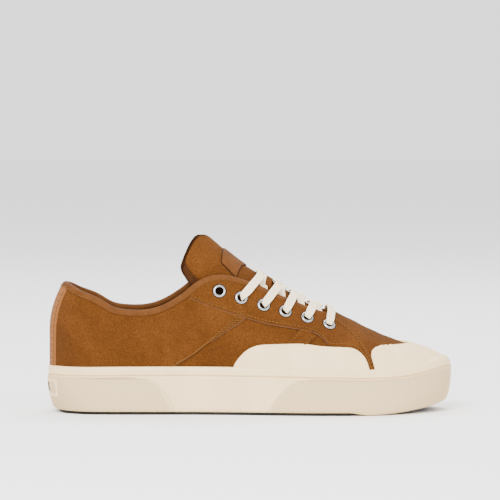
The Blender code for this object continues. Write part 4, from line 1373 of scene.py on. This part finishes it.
def build_binding(sizes):
    """The leather that folds over the collar, tapering out at the front of the throat. The fold's corners are
    millimetres outwards and shares of the edge's height upwards."""
    path, out = collar_path()
    fold = (
        (0.3, -1.00), (1.45, -1.0), (1.80, -0.9), (1.95, -0.7), (1.98, -0.35), (1.80, 0.0), (1.25, 0.22),
        (0.3, 0.34), (-0.9, 0.38), (-2.1, 0.30), (-2.9, 0.10), (-3.2, -0.30), (-3.2, -0.8), (-2.2, -0.95),
    )
    profile = np.array([(out_mm * MM, share * sizes.binding_height) for out_mm, share in fold[::-1]])
    run = lengths_along(path)
    left = np.minimum(run, run[-1] - run)
    scale = 0.12 + 0.88 * rounded(left, 16 * MM)
    sweep("collar_edge", path, out, profile, finish("edging"), ("collar_binding",), scale)


def tongue_grid(rows, columns, wider=1.0, extra=0.0, bow=0.0):
    """Angles and turns over the tongue: each row runs from the inner edge over the crest to the outer edge.
    wider and extra carry it past its edges, and bow pushes the upper end's flanks forward."""
    count = len(TONGUE_EDGE["along"])
    steps = np.arange(count)
    at = np.linspace(0, count - 1 + extra, rows)
    line = np.stack(on_side(TONGUE_EDGE["along"], TONGUE_EDGE["up"]), axis=-1)
    borders_at = {"along": steps, "phi": line[:, 0], "turn": line[:, 1], "crest": angle_of(TONGUE_RIDGE)}

    def reach(name):
        inner = smooth(borders_at, name, np.minimum(at, count - 1))
        slope = borders_at[name][-1] - borders_at[name][-2]
        return (inner + slope * np.maximum(at - count + 1, 0))[:, None]

    side = np.linspace(-1, 1, columns)
    share = np.abs(side) * wider
    phi = reach("crest") + (reach("phi") - reach("crest")) * share
    phi += bow * np.sin(np.pi * np.clip(share, 0, 1)) * np.clip((at - 6.0) / 3.0, 0, 1)[:, None] ** 2
    turn = 1 + (reach("turn") - 1) * share
    return np.stack([phi * np.where(side < 0, -1, 1), np.minimum(turn, 1.0)], axis=-1)


def build_tongue():
    """The tongue: a thin suede face over a thicker padded lining whose rounded rim shows past its edge."""
    grid = tongue_grid(80, 61, bow=0.024)
    points = last_at(grid[..., 0], grid[..., 1])
    away = edges_away(points, (True, True, False, True))
    face = TONGUE_LIFT - 1.2 * MM * (1 - rounded(away, 1.0 * MM))
    sheet_between("tongue_face", grid, face, TONGUE_LIFT - 1.9 * MM, finish("suede"), ("tongue",))
    grid = tongue_grid(80, 61, 1.09, 0.45)
    points = last_at(grid[..., 0], grid[..., 1])
    away = edges_away(points, (True, True, False, True))
    curl = 1.9 * MM * (1 - rounded(away, 2.2 * MM))
    high, low = TONGUE_LIFT - 1.5 * MM - curl, TONGUE_LIFT - 5.4 * MM + curl
    pad = sheet_between("tongue_padding", grid, high, low, finish("ribbed_rim"))


def crest_patch(near, crest, rows, columns):
    """Angles and turns of a patch across the tongue's crest, from two edge places and two crest shares."""
    line = np.stack(on_side(near["along"], near["up"]), axis=-1)
    top = angle_of(crest)
    t = np.linspace(0, 1, rows)[:, None]
    edge_phi = line[0, 0] + (line[1, 0] - line[0, 0]) * t
    edge_turn = line[0, 1] + (line[1, 1] - line[0, 1]) * t
    crest_phi = top[0] + (top[1] - top[0]) * t
    side = np.linspace(-1, 1, columns)
    phi = crest_phi + (edge_phi - crest_phi) * np.abs(side)
    turn = 1 + (edge_turn - 1) * np.abs(side)
    return np.stack([phi * np.where(side < 0, -1, 1), turn], axis=-1)


def build_label():
    """A bare leather patch sewn on the tongue, and the small loop that keeps the lace in place."""
    root = TONGUE_LIFT - 0.4 * MM
    leather = finish("label_leather")
    grid = crest_patch(LABEL_EDGE, LABEL_RIDGE, 30, 61)
    away = edges_away(last_at(grid[..., 0], grid[..., 1]))
    groove = 0.15 * MM * np.exp(-(((away - 1.6 * MM) / (0.4 * MM)) ** 2))
    lift = TONGUE_LIFT + 0.2 * MM + 0.9 * MM * rounded(away, 0.5 * MM) - groove
    sheet_between("tongue_patch", grid, lift, root, leather, ("tongue_label",))
    border = np.concatenate([grid[0], grid[1:-1, -1], grid[-1, ::-1], grid[-2:0:-1, 0]])
    points, normals = skin(border[:, 0], border[:, 1], TONGUE_LIFT + 0.35 * MM, False)
    cord = oval(0.7 * MM, 0.5 * MM, 8)
    sweep("tongue_patch_edge", points, normals, cord, finish("dark_edge"))
    grid = crest_patch(LOOP_EDGE, LOOP_RIDGE, 16, 41)
    away = edges_away(last_at(grid[..., 0], grid[..., 1]))
    lift = TONGUE_LIFT + 0.3 * MM + 1.5 * MM * rounded(away, 0.8 * MM)
    sheet_between("keeper_loop", grid, lift, root, finish("suede"))


def eyelet_places():
    """Point and normal of each eyelet; the inner row mirrors the outer one."""
    line = np.stack(on_side(EYELETS["along"], EYELETS["up"]), axis=-1)
    line = np.concatenate([line, line * [-1, 1]])
    return skin(line[:, 0], line[:, 1], 0.0, False)


def turned(centre, axis, profile, around):
    """Rings of points: a profile of (radius, height) in metres turned round an axis at a centre."""
    across = np.cross(axis, (1.0, 0.0, 0.0))
    across /= np.linalg.norm(across)
    other = np.cross(axis, across)
    angle = np.arange(around) * 2 * np.pi / around
    spoke = across * np.cos(angle)[:, None] + other * np.sin(angle)[:, None]
    return np.array([centre + axis * h + spoke * r for r, h in profile])


def build_eyelets(sizes):
    """Twelve rolled metal rings, each a turned profile with a barrel, and painted shade: a near-black capped
    tube in each barrel that fills the hole, and a thin near-black band round each ring as its shadow.
    """
    reach = sizes.eyelet_radius
    bore = reach * 0.60
    seat = sizes.overlay + PANEL_SEAT
    roll = (
        (bore, -BARREL_DEPTH),
        (bore, seat + 0.20 * MM),
        (bore + 0.15 * MM, seat + 0.55 * MM),
        (bore + 0.5 * MM, seat + 0.80 * MM),
        (bore + 0.95 * MM, seat + 0.82 * MM),
        (reach - 0.45 * MM, seat + 0.55 * MM),
        (reach, seat + 0.10 * MM),
        (reach, seat - 0.25 * MM),
        (bore + 0.6 * MM, seat - 0.3 * MM),
        (bore + 0.5 * MM, -BARREL_DEPTH),
    )
    # Painted shade: a near-black capped tube inside the barrel that fills the hole, and a near-black band
    # just outside the ring that stands in for its shadow.
    dark = (
        ((bore + 0.1 * MM, 0.4 * MM - BARREL_DEPTH), (bore + 0.1 * MM, seat + 0.14 * MM)),
        ((reach + 0.4 * MM, seat - 0.4 * MM), (reach + 0.3 * MM, seat + 0.06 * MM)),
    )
    k = np.arange(RING_STEPS)
    after, last = (k + 1) % RING_STEPS, (len(roll) - 1) * RING_STEPS
    shut = np.stack([last + k, last + after, after, k], axis=-1)
    faces = np.concatenate([grid_faces(len(roll), RING_STEPS, closed=True), shut])
    hollow = []
    for number, (centre, axis) in enumerate(zip(*eyelet_places())):
        side = "lateral" if number < 6 else "medial"
        which = f"{side}_{number % 6 + 1}"
        rings = turned(centre, axis, roll, RING_STEPS)
        add_piece(f"ring_{which}", rings, faces, finish("nickel"), (f"eyelet_{which}",))
        hollow += [turned(centre, axis, profile, SHADE_RING_STEPS) for profile in dark]
    first = np.arange(len(hollow)) * 2 * SHADE_RING_STEPS
    faces = (tube_faces(2, SHADE_RING_STEPS) + first[:, None, None]).reshape(-1, 4)
    add_piece("eyelet_painted_shade", np.array(hollow), faces, finish("shade"))


def throat_edge(x):
    """Distance of the throat's outer edge from the shoe's middle plane at x."""
    phi = np.linspace(0.4, angle_of(0.70), 400)
    places = last_at(phi, top_turn(phi))
    return np.interp(x, places[:, 0], np.abs(places[:, 1]))


def lace_strand(name, path, normals, sizes, nodes=(), eyelets=("first", "last")):
    """A flat woven ribbon along a path, narrowed at the ends that enter an eyelet."""
    ahead = np.gradient(path, axis=0)
    ahead /= np.linalg.norm(ahead, axis=-1, keepdims=True)
    level = path[-1] - path[0]
    level /= np.linalg.norm(level)
    across = np.cross(normals, level)
    across /= np.linalg.norm(across, axis=-1, keepdims=True)
    out = np.cross(ahead, across)
    run = lengths_along(path)
    wide = np.ones(len(path))
    for end, part in (("first", run), ("last", run[-1] - run)):
        if end in eyelets:
            wide *= 0.66 + 0.34 * np.clip((part - 2 * MM) / (7 * MM), 0, 1) ** 0.7
    ribbon = oval(sizes.lace_width, sizes.lace_thickness, 16, 0.55)
    profile = np.broadcast_to(ribbon, (len(path), 16, 2)).copy()
    profile[..., 1] *= wide[:, None]
    profile[..., 0] *= 1 + 0.5 * (1 - wide[:, None])
    return sweep(name, path, out, profile, finish("lace_weave"), nodes, flat_map=True)


def ease(value, start, end):
    """A smooth step from 0 at start to 1 at end."""
    t = np.clip((value - start) / (end - start), 0, 1)
    return t * t * (3 - 2 * t)


def over_throat(start, ridge, dive, side, bump, sizes):
    """A strand's path: out of its eyelet, over the throat's edge, across the crest and under the far edge. Up
    to the crest it moves forward as it climbs, so that it looks straight from the side."""
    first = on_side(start, np.interp(start, EYELETS["along"], EYELETS["up"]))
    hole, axis = skin(first[0] * side, first[1], 0.0, False)
    x0, x1, x2 = hole[0], LENGTH * (ridge - 0.5), LENGTH * (dive - 0.5)
    y0 = hole[1]
    y2 = -np.sign(y0) * (throat_edge(x2) + 4.5 * MM)
    t = np.linspace(0, 1, 64)
    y = y0 + (y2 - y0) * t
    near, far = np.clip(y / y0, 0, 1), np.clip(y / y2, 0, 1)
    rest = TONGUE_LIFT + 0.25 * MM + sizes.lace_thickness / 2
    top = sizes.overlay + PANEL_SEAT + 0.85 * MM + sizes.lace_thickness / 2
    lift = rest + (top - rest) * ease(near, 0.16, 0.60) * (y * y0 > 0)
    lift += bump * np.exp(-((y / (9 * MM)) ** 2))
    climb = 1 - near
    for _ in range(6):
        x = np.where(y * y0 > 0, x0 + (x1 - x0) * climb, x1 + (x2 - x1) * (1 - (1 - far) ** 3))
        soft = np.convolve(np.pad(x, 4, mode="edge"), np.ones(9) / 9, mode="valid")
        x = np.where((t > 0.08) & (t < 0.92), soft, x)
        where = on_top(x, y)
        points, normals = skin(where[0], where[1], lift, False)
        crest = points[np.argmin(np.abs(y)), 2]
        climb = np.clip((points[:, 2] - points[0, 2]) / (crest - points[0, 2]), 0, 1)
    inside = hole + axis * LACE_RISE
    lead = (points[0] - hole) @ axis
    inside = np.concatenate([inside, [hole + axis * (lead - 0.35 * MM) + (points[3] - points[0]) * 0.15]])
    path = np.concatenate([inside, points[2:]])
    around = np.concatenate([np.repeat(axis[None], 5, axis=0), normals[2:]])
    return path, around


def build_laces(sizes):
    """Four crossings of two strands each, the outer one on top, and one bar over the front pair."""
    thick = sizes.lace_thickness
    rows = zip(*(CROSSINGS[name] for name in ("along", "over", "under", "dive")))
    for number, (start, over, under, dive) in enumerate(rows, 1):
        path, normals = over_throat(start, under, dive, -1, 0.0, sizes)
        lace_strand(f"lace_under_{number}", path, normals, sizes, (), ("first",))
        path, normals = over_throat(start, over, dive, 1, thick * 1.05, sizes)
        lace_strand(f"lace_over_{number}", path, normals, sizes, (f"lace_cross_{number}",), ("first",))
    points, axes = eyelet_places()
    near, far = points[5], points[11]
    t = np.linspace(0, 1, 60)
    ahead = 2.4 * MM * np.sin(np.pi * t)
    where = on_top(near[0] + (far[0] - near[0]) * t + ahead, near[1] + (far[1] - near[1]) * t)
    high = sizes.overlay + 1.15 * MM + thick / 2
    lift = 1.3 * MM + (high - 1.3 * MM) * np.clip(np.abs(2 * t - 1) / 0.55, 0, 1) ** 1.5
    points, normals = skin(where[0], where[1], lift, False)
    path = np.concatenate([near + axes[5] * LACE_RISE, points[2:-2], (far + axes[11] * LACE_RISE)[::-1]])
    around = np.concatenate([axes[[5] * 4], normals[2:-2], axes[[11] * 4]])
    lace_strand("lace_front_bar", path, around, sizes, ("lace_bar",))


def build_cut_edges(sizes):
    """The cut edges of quarter and eyestays: a fine pale cord where each panel ends, on both sides."""
    quarter = quarter_grid(44, 60)[:, 0]
    low, high = stay_lines()
    cord = oval(0.75 * MM, 0.7 * MM, 8, 0.9)
    edges = ((quarter[:40], 0.45), (low[:STAY_STEPS], 0.62), (high[STAY_STEPS + 18:], 0.62))
    sides = [(line * [flip, 1], share) for flip in (1, -1) for line, share in edges]
    for number, (line, share) in enumerate(sides, 1):
        points, normals = seam(line, sizes.overlay * share, 0.005, 0.995)
        sweep(f"cut_edge_{number}", points[::2], normals[::2], cord, finish("raw_edge"))


def build_stitches(sizes):
    """The visible rows of thread, each a line a set distance inside a panel's edge."""
    pitch = sizes.stitch_pitch
    quarter = quarter_grid(44, 120)
    top = sizes.overlay * QUARTER_SHARE + 0.05 * MM
    rows = []
    for away in (2.2 * MM, 3.7 * MM, 5.2 * MM):
        for flip in (1, -1):
            rows.append(seam(line_in(quarter, away)[6:36] * [flip, 1], top))
    stitches("stitches_quarter", rows, pitch)

    low, high = stay_lines()
    rungs = low[:, None] + (high - low)[:, None] * np.linspace(0, 1, 60)[None, :, None]
    top = sizes.overlay + 0.35 * MM
    rows = []
    for flip in (1, -1):
        rows.append(seam(line_in(rungs, 2.0 * MM) * [flip, 1], top, 0.02, 0.985))
        for away in (2.2 * MM, 4.6 * MM):
            front = line_in(rungs[:, ::-1], away)[STAY_STEPS - 2:]
            rows.append(seam(front * [flip, 1], top, 0.12, 0.98))
    stitches("stitches_stay", rows, pitch)

    path, out = collar_path()
    ahead = np.gradient(path, axis=0)
    ahead /= np.linalg.norm(ahead, axis=-1, keepdims=True)
    across = np.cross(out, ahead)
    row = path + out * 1.92 * MM - across * (sizes.binding_height * 0.76)
    stitches("stitches_collar", [(row[4:-40], out[4:-40])], pitch * 0.85, 1.5 * MM, 0.55 * MM)

    along, up = run_through(SIDE_SEAM, 60, "along", "up")
    rows = []
    for shift in (-3.6 * MM, 3.6 * MM):
        sunk = shift / (BAND_WIDTH / 2) * BAND_SLANT
        line = np.stack(on_side(along + shift / LENGTH, up - sunk), axis=-1)
        rows.append(seam(line, sizes.overlay * BAND_SHARE + 0.15 * MM, 0.36, 0.96))
    stitches("stitches_band", rows, pitch)

    rows = []
    z = np.linspace(SOLE_HEIGHT - 1 * MM, SOLE_HEIGHT + COLLAR_RISE - 5 * MM, 60)
    inset = TAPE_WIDTH / 2 - 1.8 * MM
    for side in (-inset, inset):
        phi = np.array([heel_angle(side, height) for height in z])
        rows.append(skin(phi, turn_at(phi, z), sizes.overlay * QUARTER_SHARE + 0.95 * MM))
    stitches("stitches_tape", rows, pitch * 0.9, 1.6 * MM, 0.55 * MM)


def metres(name, text, value, low, high):
    """A size in metres for the sidebar."""
    values = {"default": value, "min": low, "max": high}
    return FloatProperty(name=name, description=text, unit="LENGTH", subtype="DISTANCE", **values)


def colour_field(name, text, value):
    """A colour for the sidebar, in linear light."""
    values = {"default": value, "min": 0.0, "max": 1.0, "size": 3}
    return FloatVectorProperty(name=name, description=text, subtype="COLOR", **values)


def plain_number(name, text, value, low):
    """A number without a unit for the sidebar."""
    return FloatProperty(name=name, description=text, default=value, min=low)


def count_field(name, text, value, low, high):
    """A number of grid places for the sidebar."""
    return IntProperty(name=name, description=text, default=value, min=low, max=high)


class SkateShoeSizes(bpy.types.PropertyGroup):
    """Sizes of the finished pieces."""

    overlay: metres("Overlay", "Thickness of eyestay, guard and toe cap", 1.3 * MM, 0.5 * MM, 1.6 * MM)
    binding_height: metres("Collar edge", "Height of the leather over the edge", 3.6 * MM, 2 * MM, 6 * MM)
    eyelet_radius: metres("Eyelet", "Outer radius of an eyelet ring", 4.8 * MM, 3 * MM, 6 * MM)
    lace_width: metres("Lace width", "Width of the flat lace", 6.0 * MM, 3 * MM, 9 * MM)
    lace_thickness: metres("Lace thickness", "Thickness of the flat lace", 1.15 * MM, 0.5 * MM, 2 * MM)
    stitch_pitch: metres("Stitch pitch", "Distance from one stitch to the next", 2.7 * MM, 1.5 * MM, 5 * MM)
    ring_columns: count_field("Foxing columns", "Columns round the sole", 600, 100, 900)
    tread_rows: count_field("Tread rows", "Rows of the sole's underside", 240, 60, 500)


class SkateShoeColours(bpy.types.PropertyGroup):
    """Colours of the finishes, in linear light."""

    suede: colour_field("Suede", "Tan suede of the upper", (0.079, 0.0272, 0.0058))
    edging: colour_field("Edging", "Leather of the collar's edge", (0.086, 0.0295, 0.0058))
    label: colour_field("Label", "Leather of the tongue's patch", (0.090, 0.0305, 0.0060))
    lining: colour_field("Lining", "Cloth inside the shoe", (0.018, 0.0065, 0.0022))
    rubber: colour_field("Sole rubber", "Cream rubber of foxing, guard and toe cap", (0.88, 0.645, 0.345))
    outsole: colour_field("Outsole", "Black rubber of the tread", (0.004, 0.004, 0.0045))
    webbing: colour_field("Webbing", "Tape over the heel seam", (0.235, 0.088, 0.026))
    lace: colour_field("Lace", "Woven flat lace", (0.92, 0.78, 0.54))
    thread: colour_field("Thread", "Sewing thread", (0.150, 0.062, 0.012))
    cut: colour_field("Cut edge", "Raw edge of the leather", (0.105, 0.048, 0.024))
    metal: colour_field("Eyelets", "Plated metal of the eyelets", (0.34, 0.34, 0.35))
    # Painted shade: the near-black of the eyelet hollows stands in for the shade in each hole and the shadow
    # round each ring.
    hollow: colour_field("Hollows", "Dark inside of an eyelet", (0.004, 0.002, 0.001))


class SkateShoeStage(bpy.types.PropertyGroup):
    """The studio and the camera."""

    azimuth: plain_number("Azimuth", "Camera's turn round the shoe in degrees", -2.5, -360.0)
    elevation: plain_number("Elevation", "Camera's height angle in degrees", 3.0, -90.0)
    distance: metres("Distance", "Camera to the shoe's middle", 3.0, 0.6, 6.0)
    view_width: metres("View width", "Width of the picture at the shoe's middle", 0.3656, 0.2, 1.0)
    aim_x: metres("Aim along", "Where the camera looks, along the shoe", 0.0, -0.2, 0.2)
    aim_z: metres("Aim up", "Height at which the camera looks", 0.1174, 0.0, 0.3)
    floor_radius: metres("Floor", "Radius of the pale floor", 6.0, 1.0, 20.0)
    floor_colour: colour_field("Floor colour", "Pale floor", (0.93, 0.93, 0.93))
    room_light: plain_number("Room light", "Strength of the white room", 1.8, 0.0)
    key_light: plain_number("Key light", "Power of the main lamp in watts", 72.0, 0.0)


class OutsoleOperator(bpy.types.Operator):
    """Builds the black tread"""

    bl_idname = "skateshoe.outsole"
    bl_label = "Outsole"

    def execute(self, context):
        build_outsole(context.scene.skate_shoe_sizes)
        return {"FINISHED"}


class MidsoleOperator(bpy.types.Operator):
    """Builds the cream foxing round the sole"""

    bl_idname = "skateshoe.midsole"
    bl_label = "Foxing"

    def execute(self, context):
        build_midsole(context.scene.skate_shoe_sizes)
        return {"FINISHED"}


class BumperOperator(bpy.types.Operator):
    """Builds the textured strips at heel and toe"""

    bl_idname = "skateshoe.bumpers"
    bl_label = "Bumpers"

    def execute(self, context):
        build_bumper("heel_texture", "heel_bumper", HEEL_BUMPER_EDGE, 0.0, HEEL_BUMPER_COLUMNS)
        build_bumper("toe_texture", "toe_bumper", TOE_BUMPER_EDGE, np.pi, TOE_BUMPER_COLUMNS)
        return {"FINISHED"}


class BadgeOperator(bpy.types.Operator):
    """Builds the bare plate at the heel"""

    bl_idname = "skateshoe.badge"
    bl_label = "Heel plate"

    def execute(self, context):
        build_badge()
        return {"FINISHED"}


class InsoleOperator(bpy.types.Operator):
    """Builds the footbed"""

    bl_idname = "skateshoe.insole"
    bl_label = "Footbed"

    def execute(self, context):
        build_insole()
        return {"FINISHED"}


class UpperOperator(bpy.types.Operator):
    """Builds the suede wall and its lining"""

    bl_idname = "skateshoe.upper"
    bl_label = "Upper"

    def execute(self, context):
        build_upper()
        build_quarter(context.scene.skate_shoe_sizes)
        return {"FINISHED"}


class OverlayOperator(bpy.types.Operator):
    """Builds eyestays, side guard, side band and toe cap"""

    bl_idname = "skateshoe.overlays"
    bl_label = "Overlays"

    def execute(self, context):
        sizes = context.scene.skate_shoe_sizes
        for build in (build_eyestays, build_guard, build_side_band, build_cap):
            build(sizes)
        return {"FINISHED"}


class TrimOperator(bpy.types.Operator):
    """Builds the collar's edge and the webbing at the heel"""

    bl_idname = "skateshoe.trim"
    bl_label = "Collar edge and webbing"

    def execute(self, context):
        build_tape(context.scene.skate_shoe_sizes)
        build_binding(context.scene.skate_shoe_sizes)
        return {"FINISHED"}


class TongueOperator(bpy.types.Operator):
    """Builds the tongue, its patch and its loop"""

    bl_idname = "skateshoe.tongue"
    bl_label = "Tongue"

    def execute(self, context):
        build_tongue()
        build_label()
        return {"FINISHED"}


class LaceOperator(bpy.types.Operator):
    """Builds the eyelet rings and threads the flat lace through them"""

    bl_idname = "skateshoe.laces"
    bl_label = "Eyelets and lace"

    def execute(self, context):
        build_eyelets(context.scene.skate_shoe_sizes)
        build_laces(context.scene.skate_shoe_sizes)
        return {"FINISHED"}


class StitchOperator(bpy.types.Operator):
    """Lays the cut edges and sews the visible rows of thread"""

    bl_idname = "skateshoe.stitches"
    bl_label = "Cut edges and stitches"

    def execute(self, context):
        build_cut_edges(context.scene.skate_shoe_sizes)
        build_stitches(context.scene.skate_shoe_sizes)
        return {"FINISHED"}


class StageOperator(bpy.types.Operator):
    """Sets the floor, the lights and the camera"""

    bl_idname = "skateshoe.stage"
    bl_label = "Stage"

    def execute(self, context):
        build_stage(context.scene.skate_shoe_stage)
        return {"FINISHED"}


STEPS = (
    OutsoleOperator,
    MidsoleOperator,
    BumperOperator,
    BadgeOperator,
    InsoleOperator,
    UpperOperator,
    OverlayOperator,
    TrimOperator,
    TongueOperator,
    LaceOperator,
    StitchOperator,
    StageOperator,
)


class SkateShoePanel(bpy.types.Panel):
    """Sizes, colours and building steps in the sidebar"""

    bl_idname = "VIEW3D_PT_skate_shoe"
    bl_label = "Skate Shoe"
    bl_space_type = "VIEW_3D"
    bl_region_type = "UI"
    bl_category = "Skate Shoe"

    def draw(self, context):
        scene = context.scene
        for group in (scene.skate_shoe_sizes, scene.skate_shoe_colours, scene.skate_shoe_stage):
            box = self.layout.box()
            for name in group.__annotations__:
                box.prop(group, name)
        for step in STEPS:
            self.layout.operator(step.bl_idname)


GROUPS = {
    "skate_shoe_sizes": SkateShoeSizes,
    "skate_shoe_colours": SkateShoeColours,
    "skate_shoe_stage": SkateShoeStage,
}


def register():
    for made in (*GROUPS.values(), *STEPS, SkateShoePanel):
        bpy.utils.register_class(made)
    for name, group in GROUPS.items():
        setattr(bpy.types.Scene, name, PointerProperty(type=group))


def unregister():
    for name in GROUPS:
        delattr(bpy.types.Scene, name)
    for made in (SkateShoePanel, *reversed(STEPS), *reversed(GROUPS.values())):
        bpy.utils.unregister_class(made)


def main():
    register()
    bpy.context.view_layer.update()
    for step in STEPS:
        group, name = step.bl_idname.split(".")
        getattr(getattr(bpy.ops, group), name)()


if __name__ == "__main__":
    main()
